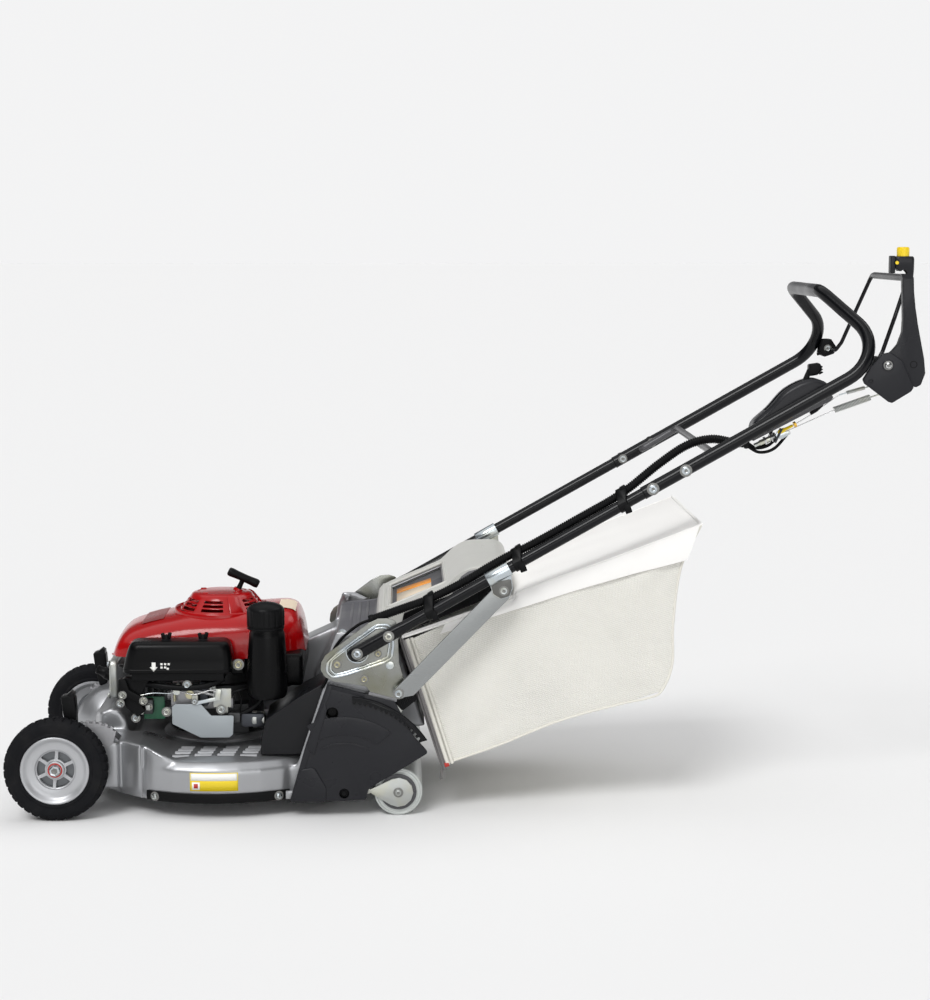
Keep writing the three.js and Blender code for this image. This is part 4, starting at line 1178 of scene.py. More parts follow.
def build_fuel_parts():
    neck_profile = [
        (0.5, 222), (30, 222), (34.5, 223.5), (37.5, 227.5), (39.4, 236), (39.9, 250),
        (39.2, 280), (37.4, 315), (35.2, 343), (34.4, 351), (33.0, 354), (32.6, 358.4),
        (0.5, 358.6),
    ]
    turned("filler_neck", neck_profile, (404, -185, 0), (0, 0, 1), "black_satin", "mower",
           72, 30, swell=neck_ridge)
    tank = [
        add_block("tank_body", (391, -150, 236), (472, 112, 300), "black_satin", None, 9, 4),
        add_block("tank_shoulder", (380, -176, 238), (440, -128, 283), "black_satin", None, 8, 4),
    ]
    tank = merged("fuel_tank_body", tank, "mower")
    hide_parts("fuel_tank")
    cap_profile = [
        (0.5, 359.1), (35.6, 359.1), (36.4, 360), (36.4, 362.6), (35.2, 363.4), (35.2, 365),
        (36.8, 366.2), (36.8, 393), (36.2, 397.5), (34.0, 401.4), (30, 404.6), (22, 408.2),
        (12, 410.8), (0.5, 411.8),
    ]
    cap = turned("filler_cap_shell", cap_profile, (402, -185, 0), (0, 0, 1), "black_plastic",
                 "filler_cap", 144, 40, swell=cap_ridge)
    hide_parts("fuel_cap")


def neck_ridge(i, radius):
    return 0.7 if i % 18 == 0 and radius > 34.2 else 0


def cap_ridge(i, radius):
    return -1.1 if i % 8 in (0, 1) and radius > 36.6 else 0


def build_engine_blocks():
    refine("engine_block", "cast_engine", 1.0, 2, 40)
    refine("cylinder_head_cover", "zinc_green", 3.5, 3, 40)
    for y in (-43, 43):
        for z in (197, 261):
            bolt((76, y, z), (-1, 0, 0), 4.6, 4.5, "hex")
    refine("carburettor", "bracket_grey", 2.0, 3, 40)
    bolt((347, -178, 286), (0, -1, 0), 7.5, 6, "hex", finish="brass_zinc")
    refine("insulator_plate", "green", 0.8, 2, 40)
    shield = add_plate("carburettor_shield", rounded_outline([
        (217, 205), (223, 210.5), (274, 210.5), (294, 187), (338, 187), (336, 149), (329, 143),
        (273, 143), (217.5, 171),
    ], 3.5), -193, -190.4, "shield_grey", "mower", 1.0, 3)
    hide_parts("heat_shield")
    refine("muffler", "exhaust", 7, 4, 40)
    # Pressed guard with louvres over the silencer.
    guard = []
    for i in range(6):
        z = 184 + i * 12.5
        guard.append(add_block(f"guard_bar_{i}", (134, 143.5, z), (226, 146, z + 6), "dark_steel",
                               None, 1.0, 2))
    for x in (134, 221):
        guard.append(add_block(f"guard_post_{x}", (x, 142.5, 180), (x + 5, 147, 254),
                               "dark_steel", None, 1.0, 2))
    merged("silencer_guard", guard, "mower")


def build_carburettor_details():
    """Bowl, levers, linkage, screws, springs and hoses around the carburettor."""
    bits = []

    def knob(name, place, axis, rings, finish, sides=28):
        bits.append(turned(name, rings, place, axis, finish, None, sides, 35))

    def lump(name, low, high, finish, width=1.5, turn=0.0):
        bits.append(add_block(name, low, high, finish, None, width, 2, turn))

    knob("bowl_lower", (241, -144, 158), (0, 0, 1),
         [(0.4, 0), (9, 0), (10, 1.5), (10, 5), (17, 7), (20.6, 11), (20.6, 30), (22.4, 31),
          (22.4, 35), (20, 36), (0.4, 36)], "zinc_green", 40)
    knob("drain_screw", (241, -144, 153.5), (0, 0, 1), [(0.4, 0), (6, 0), (6.5, 1), (6.5, 5),
                                                       (0.4, 5)], "zinc")
    knob("throttle_shaft", (252, -176, 228), (0, -1, 0),
         [(4, 0), (4, 9), (8.5, 9.2), (8.5, 11), (3, 11.4), (3, 15), (0.4, 15.2)], "brass_zinc")
    knob("choke_shaft", (226, -176, 234), (0, -1, 0),
         [(3.5, 0), (3.5, 7), (7, 7.3), (7, 9.5), (0.4, 9.8)], "zinc")
    lump("carb_lug_a", (256, -190, 203), (268, -172, 228), "zinc_green")
    lump("carb_lug_b", (289, -182, 214), (301, -160, 246), "cast_engine")
    lump("carb_lug_c", (312, -184, 190), (326, -160, 226), "zinc_green")
    lump("carb_lug_d", (203, -184, 184), (217, -164, 203), "cast_engine")
    lump("carb_tower", (270, -180, 204), (287, -150, 251), "dark_steel", 2)
    lump("throttle_plate", (298, -188, 203), (333, -184, 240), "zinc_green", 0.9)
    lump("throttle_plate_foot", (300, -186, 226), (318, -160, 230), "zinc", 0.8)
    lump("shutoff_body", (326, -182, 170), (350, -158, 190), "cast_engine", 3)
    knob("intake_flange", (199, -144, 222), (1, 0, 0),
         [(0.4, 0), (15, 0), (16, 1), (16, 5), (13, 6), (13, 14), (0.4, 14)], "cast_engine", 36)
    lump("governor_arm", (262, -196, 214), (310, -193.6, 221), "zinc", 0.8, math.radians(12))
    lump("governor_tip", (303, -197, 219), (313, -192, 241), "zinc", 0.8, math.radians(-8))
    lump("port_body", (160, -172, 186), (178, -150, 215), "cast_engine", 3)
    lump("port_neck", (164, -182, 196), (174, -168, 207), "zinc_green", 2)
    lump("lower_lug", (139, -176, 186), (160, -158, 201), "zinc_green", 2)
    for name, place, axis, size, finish in (
        ("a", (206, -186, 194), (0, -1, 0), 6.4, "zinc"),
        ("b", (313, -188, 198.5), (0, -1, 0), 6.6, "zinc"),
        ("c", (262, -196, 216), (0, -1, 0), 4.2, "zinc"),
        ("d", (296, -183, 240), (0, -1, 0), 4.6, "zinc"),
        ("e", (144.7, -178, 180), (0, -1, 0), 6.0, "zinc"),
        ("f", (228, -177, 243), (0, -1, 0), 4.0, "brass_zinc"),
        ("g", (248, -197, 250), (0, -1, 0), 6.0, "zinc"),
        ("h", (170, -173, 201), (0, -1, 0), 5.0, "brass_zinc"),
    ):
        bolt(place, axis, size, size * 0.8, "hex", finish=finish)

    def coil(name, start, end, radius, wire, turns, finish):
        points = coil_points(start, end, radius, turns, 12)
        bits.append(add_tube(name, points, wire, finish, None, 6, angle=60))

    # Coil springs, control rods, hoses and wires.
    coil("governor_spring", (268, -192, 236), (300, -192, 228), 2.6, 0.6, 14, "bright_steel")
    coil("idle_spring", (222, -184, 214), (222, -184, 228), 2.8, 0.7, 7, "brass_zinc")
    for name, points, radius, finish in (
        ("link_rod", [(232, -190, 236), (262, -194, 230), (292, -194, 238), (312, -192, 232)],
         1.1, "bright_steel"),
        ("choke_rod", [(150, -188, 226), (180, -188, 232), (212, -186, 231), (226, -184, 236)],
         1.2, "zinc"),
        ("fuel_hose", [(398, -176, 226), (384, -172, 206), (362, -172, 190), (338, -170, 181),
                       (330, -168, 181)], 5.0, "black_plastic"),
        ("fuel_hose_low", [(330, -168, 176), (322, -166, 166), (306, -164, 162),
                           (262, -160, 170)], 4.2, "black_plastic"),
        ("ignition_lead", [(112, -30, 252), (104, -66, 262), (106, -100, 268),
                           (128, -120, 270), (152, -126, 280)], 3.6, "black_plastic"),
        ("earth_wire", [(346, -178, 236), (352, -176, 214), (349, -172, 196), (352, -168, 178),
                        (366, -160, 168)], 1.7, "black_plastic"),
        ("throttle_wire_end", [(336, -187, 232), (356, -186, 238), (378, -158, 232),
                               (400, -128, 226), (430, -120, 228), (470, -140, 246)],
         2.6, "black_plastic"),
    ):
        bits.append(add_tube(name, curve_points(points, 28), radius, finish, None, 10, angle=60))
    for k, (x, y, z) in enumerate(((338, -170, 181), (398, -176, 224))):
        knob(f"hose_clip_{k}", (x - 3, y, z), (1, 0, 0.3),
             [(5.2, 0), (6.4, 0.4), (6.4, 5.2), (5.2, 5.6), (5.2, 0)], "zinc")
    lump("solenoid", (350, -180, 160), (398, -150, 188), "dark_steel", 6)
    knob("solenoid_end", (372, -165, 174), (1, 0, 0),
         [(0.4, 0), (15, 0), (16.5, 2), (16.5, 9), (12, 10), (12, 16), (15, 17), (15, 24),
          (11, 26), (0.4, 26)], "zinc_green", 36)
    merged("carburettor_details", bits, "mower")


def build_engine_seat():
    # Dipstick cap on the front corner and the deck's engine flange studs.
    turned("oil_cap", [(0.4, 0), (9, 0), (9, 10), (15, 11), (16.5, 13), (16.5, 19),
                       (15, 21.5), (8, 22.5), (0.4, 22.8)],
           (170, 92, 150), (-0.3, 0.5, 0.8), "black_plastic", "mower", 48,
           swell=lambda i, r: -1.4 if i % 6 < 2 and r > 14 else 0)
    for turn in (35, 125, 215, 255, 300):
        angle = math.radians(turn)
        bolt((CRANK_X + 95 * math.cos(angle), 95 * math.sin(angle), 130), (0, 0, 1), 6, 6, "hex")
    turned("spark_plug_boot", [(0.4, 0), (12.5, 0), (13, 2), (13, 12), (10.5, 15),
                               (8.5, 26), (9.5, 30), (7, 33), (0.4, 33.5)],
           (76, -12, 232), (-0.92, 0, 0.38), "black_plastic", "mower", 32)
    # Stepped ring of the engine seat.
    turned("engine_seat", [(100, 117), (121, 117), (121.5, 119), (119, 122),
                           (112, 123.5), (109, 127), (106, 128), (100, 128), (100, 117)],
           (CRANK_X, 0, 0), (0, 0, 1), "cast_silver", "mower", 96, 40)


def build_rotating_parts():
    for node, material, width in (
        ("crankshaft", "bright_steel", 0.6), ("flywheel", "dark_steel", 0.8),
        ("blade_boss", "dark_steel", 0.8), ("cutting_blade", "dark_steel", 0.7),
        ("blade_bolt", "zinc", 0.8), ("gearbox_pulley", "dark_steel", 0.6),
    ):
        refine(node, material, width, 2, 35)
    refine("drive_belt", "tyre", 0.5, 2, 35)
    refine("gearbox", "cast_engine", 3, 3, 40)


# ---------------------------------------------------------------- rear parts
def build_rear_covers():
    outline = rounded_outline([
        (450, 30), (482, 141), (525, 262), (654, 228), (690, 160), (719, 127), (664, 93),
        (610, 61), (602, 54), (597, 34), (560, 33),
    ], 7, 5)
    for side, label in SIDES:
        low, high = span(side, 258.4, 262)
        plate = add_plate(f"cover_plate_{label}", outline, low, high, "charcoal", None, 1.4, 3)
        holes = [
            turned(f"hole_{label}_{i}", [(0.1, -9), (radius, -9), (radius, 9), (0.1, 9)],
                   (x, side * 260, z), (0, side, 0), "charcoal", None, 40)
            for i, (x, z, radius) in enumerate(((533, 206, 11), (555, 47, 9)))
        ]
        cut_with(plate, holes)
        smooth(plate, 35)
        pieces = [plate]
        # Recessed wells behind the holes, in near-black: painted shade inside the holes.
        for x, z, radius in ((533, 206, 11), (555, 47, 9)):
            pieces.append(turned(
                f"well_{label}_{x}",
                [(radius + 1.4, 0), (radius + 0.2, 1.2), (radius - 0.4, 3), (radius - 2, -10),
                 (radius - 3, -11), (0.4, -11), (0.4, -13), (radius, -13), (radius + 1, -2),
                 (radius + 1.4, 0)],
                (x, side * 261.4, z), (0, side, 0), "black_satin", None, 40, 40))
        # Front and top returns, the raised band, the blister and the corner fold.
        def rib(name, points, a, b, width=1.6, corner=2.0):
            pieces.append(add_plate(f"{name}_{label}", rounded_outline(points, corner, 3),
                                    *span(side, a, b), "charcoal", None, width, 3))
        rib("front_return", [(449, 31), (481, 141), (524, 262), (534, 260), (492, 139),
                             (460, 32)], 237, 263.2, 1.8)
        rib("top_return", [(525, 262.5), (598, 243.3), (596, 236), (531, 253)], 237, 262.2)
        rib("lower_fold", [(453, 33), (470, 95), (498, 100), (520, 60), (521, 30)], 260, 264.4,
            1.9, 10)
        rib("edge_band", [(484, 141), (503, 196), (519, 232), (523, 212), (510, 168),
                          (497, 122)], 260, 264.6, 2.2, 4)
        arch = []
        for centre, radius, a, b in ((PIVOT, 152, 52, 118), (PIVOT, 116, 116, 56)):
            arch += arc(centre, radius, a, b, 14)
        rib("arch_blister", arch, 260, 263.4, 1.6, 3)
        arch = arc(PIVOT, 101, 60, 116, 12) + arc(PIVOT, 96.5, 116, 60, 12)
        rib("arch_line", arch, 260, 263.0, 0.9, 1)
        cover = merged(f"rear_cover_{label}_fine", pieces, "mower")
        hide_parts(f"rear_cover_{label}")

    comb = []
    for i in range(15):
        turn = 34 + i * 3.45
        for radius, offset in ((183.5, 0.0), (178.2, 0.35), (178.2, 1.75), (183.5, 2.1)):
            angle = math.radians(turn + offset)
            comb.append((PIVOT_X + radius * math.cos(angle), PIVOT_Z + radius * math.sin(angle)))
    comb += arc(PIVOT, 193, 85, 33, 26)
    plate = add_plate("height_comb", comb, -267.2, -262.4, "gloss_black", "mower", 0.8, 2)
    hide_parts("rear_height_comb")
    rim = [(PIVOT_X + 191 * math.cos(math.radians(a)), -266.6,
            PIVOT_Z + 191 * math.sin(math.radians(a))) for a in range(34, 86, 2)]
    add_tube("height_comb_rim", rim, 2.2, "gloss_black", "mower", 12)


def build_roller():
    refine("roller_frame", "zinc_green", 1.2, 2, 35)
    for side in (-1, 1):
        bolt((ROLLER_X, side * 257, ROLLER_Z), (0, side, 0), 6.5, 5, "screw", "roller_carrier",
             "zinc_green")
    bolt((PIVOT_X, -257, PIVOT_Z), (0, -1, 0), 6, 3, "hex", "roller_carrier", "black_plastic")
    for side, label in SIDES:
        profile = [
            (10.6, 0), (34, 0), (36.5, 0.8), (38, 2.6), (41.5, 2.8), (43.4, 1.0), (45.4, 1.2),
            (46.8, 3.0), (47, 6), (47, 243), (46.2, 245), (43.6, 245.4), (43, 243), (43, 8),
            (15, 8), (14.6, 246), (10.6, 246), (10.6, 0),
        ]
        face = (ROLLER_X, side * 251, ROLLER_Z)
        roller = turned(f"roller_{label}_shell", profile, face, (0, -side, 0), "roller_grey",
                        f"roller_{label}", 96, 34)
        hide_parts(f"rear_roller_{label}")
        # Darker disc on the flat end face: painted shade where the roller's end looks recessed.
        turned(f"roller_{label}_well", [(15, 0.2), (15, -0.6), (35, -0.6), (35.6, 0.2),
                                        (15, 0.2)],
               face, (0, -side, 0), "satin_grey", f"roller_{label}", 64, 34)
    knob_outline = rounded_outline([
        (655, 224), (668, 208), (699, 232), (690, 252), (672, 257), (657, 243)], 5)
    knob = add_plate("height_knob", knob_outline, -258.2, -243.2, "black_plastic", None, 3.0, 4)
    grips = [
        add_plate(f"knob_rib_{k}", [(664 + k * 6, 216 + k * 4.6), (667 + k * 6, 218 + k * 4.6),
                                    (661 + k * 6, 244 + k * 2), (658 + k * 6, 242 + k * 2)],
                  -259.4, -257, "black_plastic", None, 0.6, 2)
        for k in range(5)
    ]
    knob = merged("height_knob", [knob, *grips], "roller_carrier")
    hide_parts("rear_height_knob")


def build_handle_plates():
    outline = rounded_outline([
        (511, 292), (513, 308), (520, 320), (603, 382), (622, 391), (640, 392), (655, 388),
        (660, 374), (662, 306), (676, 256), (668, 242), (655, 234.5), (606, 248), (598, 259),
        (537, 268), (519, 278)], 8, 4)
    bead = [(523, 290), (526, 308), (541, 322), (604, 368), (622, 379), (641, 379), (649, 371),
            (651, 340), (648, 316), (634, 306), (560, 282), (534, 277)]
    for side, label in SIDES:
        low, high = span(side, 260.3, 263.4)
        plate = add_plate(f"plate_sheet_{label}", outline, low, high, "plate_zinc", None, 1.0, 3)
        pieces = [plate]
        # The pressed beads, the cup and the dimple are drawn in the lighter zinc, against the darker
        # plate sheet: painted highlight on the ridges.
        for offset, radius in ((0, 2.9), (7.6, 2.4)):
            middle = Vector((sum(p[0] for p in bead) / 12, sum(p[1] for p in bead) / 12))
            ring = []
            for x, z in rounded_outline(bead, 12, 5):
                inward = (middle - Vector((x, z))).normalized() * offset
                ring.append((x + inward.x, side * 263.3, z + inward.y))
            pieces.append(add_tube(f"bead_{label}_{offset:.0f}", ring, radius, "zinc", None, 10,
                                   True, 38))
        cup = [(x, side * 263.3, z) for x, z in arc((FOOT_X, FOOT_Z), 21, 160, 344, 23)]
        pieces.append(add_tube(f"cup_{label}", cup, 2.2, "zinc", None, 10, angle=38))
        plate = merged(f"handle_plate_{label}_fine", pieces, "mower")
        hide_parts(f"handle_plate_{label}")
        for x, z, size in ((543, 302, 6.0), (622, 323, 5.2), (595, 273, 5.6)):
            bolt((x, side * 263.6, z), (0, side, 0), size, 5, "hex", finish="brass_zinc")
        turned(f"plate_dimple_{label}", [(8.5, 0), (7.6, 1.4), (5, 2.0), (0.4, 2.1)],
               (645, side * 263.2, 300), (0, side, 0), "zinc", "mower", 32)
        # Flat bracket behind the plate, towards the bag.
        low, high = span(side, 252, 258)
        add_plate(f"side_bracket_{label}", rounded_outline([
            (600, 236), (612, 262), (655, 300), (672, 262), (684, 236), (672, 224)], 4),
            low, high, "bracket_grey", "mower", 0.9, 2)
        bolt((651, side * 258.4, 268), (0, side, 0), 6.6, 4, "screw", finish="zinc")


def build_tubes():
    for side, label in SIDES:
        # Flattened foot that tapers into the round lower tube.
        stations = [
            (566.5, 3.0, 5.5), (568, 7.2, 9.5), (571, 9.2, 12.4), (578, 10.6, 13.6),
            (590, 10.9, 13.4), (640, 10.9, 13.2), (660, 11, 12.6), (684, 11, 11), (1222, 11, 11),
        ]
        slope = math.atan(TUBE_SLOPE)
        rings = []
        for x, across, tall in stations:
            ring = []
            for k in range(28):
                turn = 2 * math.pi * k / 28
                up = tall * math.sin(turn)
                ring.append((
                    x - up * math.sin(slope), side * TUBE_Y + across * math.cos(turn),
                    tube_z(x) + up * math.cos(slope),
                ))
            rings.append(ring)
        tube = stack(f"lower_tube_{label}", rings, "gloss_black", "mower", 30)
        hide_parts(f"lower_handle_{label}")
        for x in (FOOT_X, 642.6):
            bolt((x, side * 285.6, tube_z(x)), (0, side, 0), 7.2, 3.4, "screw", finish="zinc")
        for x in (1146.4, 1208.7):
            bolt((x, side * 287.0, tube_z(x)), (0, side, 0), 8.0, 2.2, "screw", finish="zinc")
            bolt((x, side * 262.8, tube_z(x)), (0, -side, 0), 6.5, 5.5, "hex", finish="zinc")
        low, high = span(side, 273.2, 276.8)
        brace = add_plate(f"brace_bar_{label}", rounded_outline([
            (652, 239), (652, 254), (662, 264), (845, 453), (862, 459), (875, 448), (874, 432),
            (690, 243), (672, 240), (668, 237)], 5, 4), low, high, "brace_steel", "mower", 0.9, 3)
        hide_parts(f"handle_brace_{label}")
        bolt((661, side * 277, 247), (0, side, 0), 7, 6, "hex", finish="zinc")
        coil = []
        for k in range(61):
            turn = 2 * math.pi * k / 12
            coil.append((661 + 9.5 * math.cos(turn), side * (264.6 + 8 * k / 60),
                         247 + 9.5 * math.sin(turn)))
        add_tube(f"brace_spring_{label}", coil, 1.5, "zinc", "mower", 8)
        refine(f"brace_clamp_{label}", "zinc", 1.0, 2, 35)
        low, high = span(side, 280.8, 281.6)
        add_plate(f"clamp_tab_{label}", rounded_outline([
            (837, 462), (843, 441), (858, 431.6), (873.5, 436.6), (879, 452), (877, 470)], 4),
            low, high, "tab_grey", "mower", 0.3, 2)
        bolt((863, side * 281.8, 447), (0, side, 0), 6.4, 5.0, "hex", finish="zinc")
    corners = mirrored([(1129, -TUBE_Y, tube_z(1129)), (1602, -TUBE_Y, 898.1),
                        (1486, -154, 1014)])
    path = rounded_corners(corners, [78, 44, 44, 78], 14)
    loop = add_tube("upper_loop", path, 12.5, "gloss_black", "mower", 32)
    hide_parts("upper_handle")
    grip = [(1486, y, 1014) for y in (-134, -132, -60, 60, 132, 134)]
    add_tube("grip_sleeve", grip, [12.4, 12.9, 12.9, 12.9, 12.9, 12.4], "satin_grey",
             "mower", 32)
    ahead = Vector((1, 0, TUBE_SLOPE)).normalized()
    for side, label in SIDES:
        end = Vector((1129, side * TUBE_Y, tube_z(1129)))
        add_tube(
            f"loop_end_{label}",
            [end - ahead * 0.2, end + ahead * 0.8, end + ahead * 1.6],
            [12.2, 12.9, 12.6], "black_plastic", "mower", 32)
    bar = rounded_corners(mirrored([(1186, -262, 664), (1192, -255, 668), (1262, -255, 710)]),
                          [3, 16, 16, 3], 8)
    cross = add_tube("cross_tube", bar, 7, "satin_grey", "mower", 24)
    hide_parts("cross_bar")


def above_tube(x, height):
    return (x, -262, tube_z(x) + height)


def build_cables():
    route = curve_points([
        (606, -250, 386), (665, -256, 408), above_tube(726, 24), above_tube(790, 20),
        above_tube(832, 22), above_tube(874, 22), above_tube(920, 19), above_tube(1010, 19),
        above_tube(1090, 21), (1160, -252, 686), (1215, -241, 721), (1262, -236, 733),
        (1305, -234, 727), (1336, -234, 723)], 760)
    radii = [8.8 if (i // 2) % 2 == 0 else 7.5 for i in range(len(route))]
    sleeve = add_tube("cable_sleeve", route, radii, "black_plastic", "mower", 16, angle=70)
    thin = curve_points([
        (614, -250.5, 389), (585, -248, 377), (555, -244, 352), (536, -242, 326),
        (529, -241, 296), (522, -240, 268), (512, -236, 250)], 50)
    add_tube("deck_cable", thin, 2.9, "black_plastic", "mower", 12)
    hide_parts("cable_conduit")
    second = curve_points([(640, -254, 398), (606, -246, 378), (584, -236, 352),
                           (570, -225, 330)], 40)
    add_tube("deck_cable_second", second, 2.9, "black_plastic", "mower", 12)
    ends = [(1, route[-1]), (2, route[0])]
    for number, place in ends:
        near = route[-8] if number == 1 else route[7]
        add_tube(f"sleeve_end_{number}", [near, near.lerp(place, 0.5), place],
                 [9.4, 9.8, 8.8], "black_plastic", "mower", 20)
    # Cables that come out of the sleeve and run under the console.
    for number, points in enumerate((
        [(1334, -236, 725), (1350, -240, 716), (1372, -244, 721), (1390, -246, 738)],
        [(1334, -232, 721), (1352, -232, 716), (1372, -231, 726), (1384, -231, 760)],
        [(1332, -238, 720), (1356, -243, 708), (1384, -247, 716), (1412, -248, 748)],
    )):
        add_tube(f"console_cable_{number}", curve_points(points, 28), 3.0,
                 "black_plastic", "mower", 12)
    # Three moulded clips that hold the sleeve on the tube.
    for number, x in enumerate((1090, 890, 722)):
        lean = math.atan(TUBE_SLOPE)
        lift = {1090: 21, 890: 20, 722: 24}[x]
        low, high = Vector(at(x, -TUBE_Y, tube_z(x))), Vector(at(x, -262, tube_z(x) + lift))
        outline = []
        for centre, radius, a, b in ((low, 13.6, 150, 330), (high, 11.2, -30, 150)):
            for k in range(11):
                turn = math.radians(a + (b - a) * k / 10)
                # Section across the tube: sideways is Y, upwards is the tube's own normal.
                outline.append((centre, radius * math.cos(turn), radius * math.sin(turn)))
        rings = []
        for along in (-9.5, -8.5, 8.5, 9.5):
            shrink = 0.94 if abs(along) > 9 else 1.0
            ring = []
            for centre, sideways, upwards in outline:
                ring.append(centre + Vector((
                    (along * math.cos(lean) - upwards * shrink * math.sin(lean)) / 1000,
                    sideways * shrink / 1000,
                    (along * math.sin(lean) + upwards * shrink * math.cos(lean)) / 1000,
                )))
            rings.append(ring)
        add_object(f"sleeve_clip_{number}", *stack_mesh(rings), "black_plastic", "mower",
                   35)
        add_block(f"clip_tab_{number}", (x + 2, -288.5, tube_z(x) - 15),
                  (x + 15, -284, tube_z(x) + 4), "black_plastic", "mower", 1.4, 2, 0.35)
        add_block(f"clip_latch_{number}", (x - 5, -271, tube_z(x) + lift + 7),
                  (x + 7, -255, tube_z(x) + lift + 14), "black_plastic", "mower", 1.6, 2,
                  lean)


# ----------------------------------------------------------------- controls
def build_console():
    """Throttle console: smooth half-teardrop with a slot along its top."""
    side_view = curve_points([
        (1340, 0, 737), (1339, 0, 752), (1344, 0, 768), (1371, 0, 793), (1399, 0, 824.5),
        (1425, 0, 841), (1446, 0, 848.5), (1462, 0, 849.5), (1480, 0, 842.5), (1488, 0, 832),
        (1489, 0, 815)], 34)
    top = [(q.x, q.z) for q in side_view]

    def base(x):
        return 735 + (x - 1344) * (813 - 735) / (1488 - 1344)

    insets = ((0.0, 0.80), (1.2, 0.90), (4.5, 0.97), (9.0, 1.0))
    rings = [(-260.5 + inset, scale) for inset, scale in insets]
    rings += [(-205.5 - inset, scale) for inset, scale in insets[::-1]]
    loops = []
    for y, scale in rings:
        loop = []
        for x, z in top:
            low = base(x)
            loop.append((1414 + (x - 1414) * (0.9 + 0.1 * scale), y, low + (z - low) * scale))
        loop += [(x, y, base(x) - 0.5) for x in (1488, 1452, 1416, 1380, 1344)]
        loops.append(loop)
    console = stack("console_shell", loops, "charcoal", None, 40)
    cutter = add_plate("console_slot", [(1366, 772), (1366, 900), (1484, 900), (1484, 826)],
                       -240.5, -224, "charcoal", None, 0)
    cut_with(console, [cutter])
    smooth(console, 40)
    floor = add_plate("console_slot_floor", [(1364, 750), (1366, 774), (1400, 806), (1440, 826),
                                             (1484, 828), (1484, 812)],
                      -242, -223, "charcoal", None, 1)
    skirt = add_plate("console_skirt", rounded_outline([
        (1338, 730), (1339, 741), (1396, 775), (1486, 822), (1493, 815), (1488, 808)], 3),
        -262.5, -206, "mid_charcoal", None, 1.6, 3)
    console = merged("throttle_console_fine", [console, floor, skirt], "mower")
    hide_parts("throttle_console")
    arm = [(1430, 796), (1436, 812), (1446, 840), (1455, 860), (1463, 864), (1458, 872),
           (1448, 868), (1437, 842), (1426, 815), (1423, 800)]
    lever = add_plate("throttle_arm", rounded_outline(arm, 4), -236, -228.5, "black_plastic",
                      None, 1.2, 2)
    head = add_plate("throttle_head", rounded_outline([
        (1449.5, 853.5), (1466, 856), (1475, 871), (1469, 879), (1448.5, 876)], 4),
        -242.6, -221.6, "black_plastic", None, 2.8, 3)
    ribs = [
        add_block(f"throttle_rib_{k}", (1468.5 - k * 0.5, -241.6, 858.5 + k * 5.4),
                  (1476.5 - k * 0.5, -222.6, 861 + k * 5.4), "black_plastic", None, 0.8, 2, 0.5)
        for k in range(3)
    ]
    lever = merged("throttle_lever_fine", [lever, head, *ribs], "throttle")
    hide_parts("throttle_lever")


def build_bracket():
    """Bracket plate, its pivot block and the right-hand bail holder."""
    outline = rounded_outline([
        (1546, 849), (1560, 872), (1583, 898), (1599, 901), (1622, 885), (1645, 834),
        (1640, 826), (1604, 804), (1597, 806), (1550, 841)], 5)
    bracket = add_plate("bracket_plate", outline, -271.6, -262.6, "charcoal", None, 2.4, 4)
    blocks = [
        add_plate("bracket_block", rounded_outline([
            (1556, 862), (1570, 888), (1581, 894), (1581, 862), (1566, 856)], 4),
            -268, -231, "black_plastic", None, 1.6, 3),
        add_plate("bracket_bail_seat", rounded_outline([
            (1568, 862), (1574, 890), (1592, 892), (1600, 882), (1596, 869), (1584, 860)], 4),
            -246, -230, "black_plastic", None, 1.6, 3),
        turned("bracket_boss", [(0.4, 0), (11.5, 0), (11.5, 1.0), (10.5, 1.8), (7.5, 1.8),
                                (6.8, 1.0), (0.4, 0.9)],
               (1594, -271.3, 876), (0, -1, 0), "charcoal", None, 40),
        turned("bracket_stud", [(0.4, 0), (4.6, 0), (4.4, 1.4), (3.2, 1.8), (2.6, 0.8),
                                (0.4, 0.7)],
               (1562, -271.3, 846), (0, -1, 0), "charcoal", None, 28),
    ]
    bracket = merged("control_bracket_fine", [bracket, *blocks], "mower")
    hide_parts("control_bracket")
    bolt((1594, -272.2, 876), (0, -1, 0), 6.6, 6, "screw", finish="bright_steel")
    far = [
        add_plate("holder_body", rounded_outline([
            (1562, 872), (1568, 902), (1588, 902), (1599, 885), (1595, 871), (1574, 864)], 4),
            230, 262, "black_plastic", None, 2.4, 3),
        add_block("holder_rib", (1556, 227, 872), (1592, 231, 878), "black_plastic", None, 1, 2,
                  0.3),
    ]
    holder = merged("bail_holder_right", far, "mower")
    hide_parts("bail_pivot_right")
    bolt((1580, 229.6, 882), (0, -1, 0), 5.4, 4, "hex", finish="zinc")


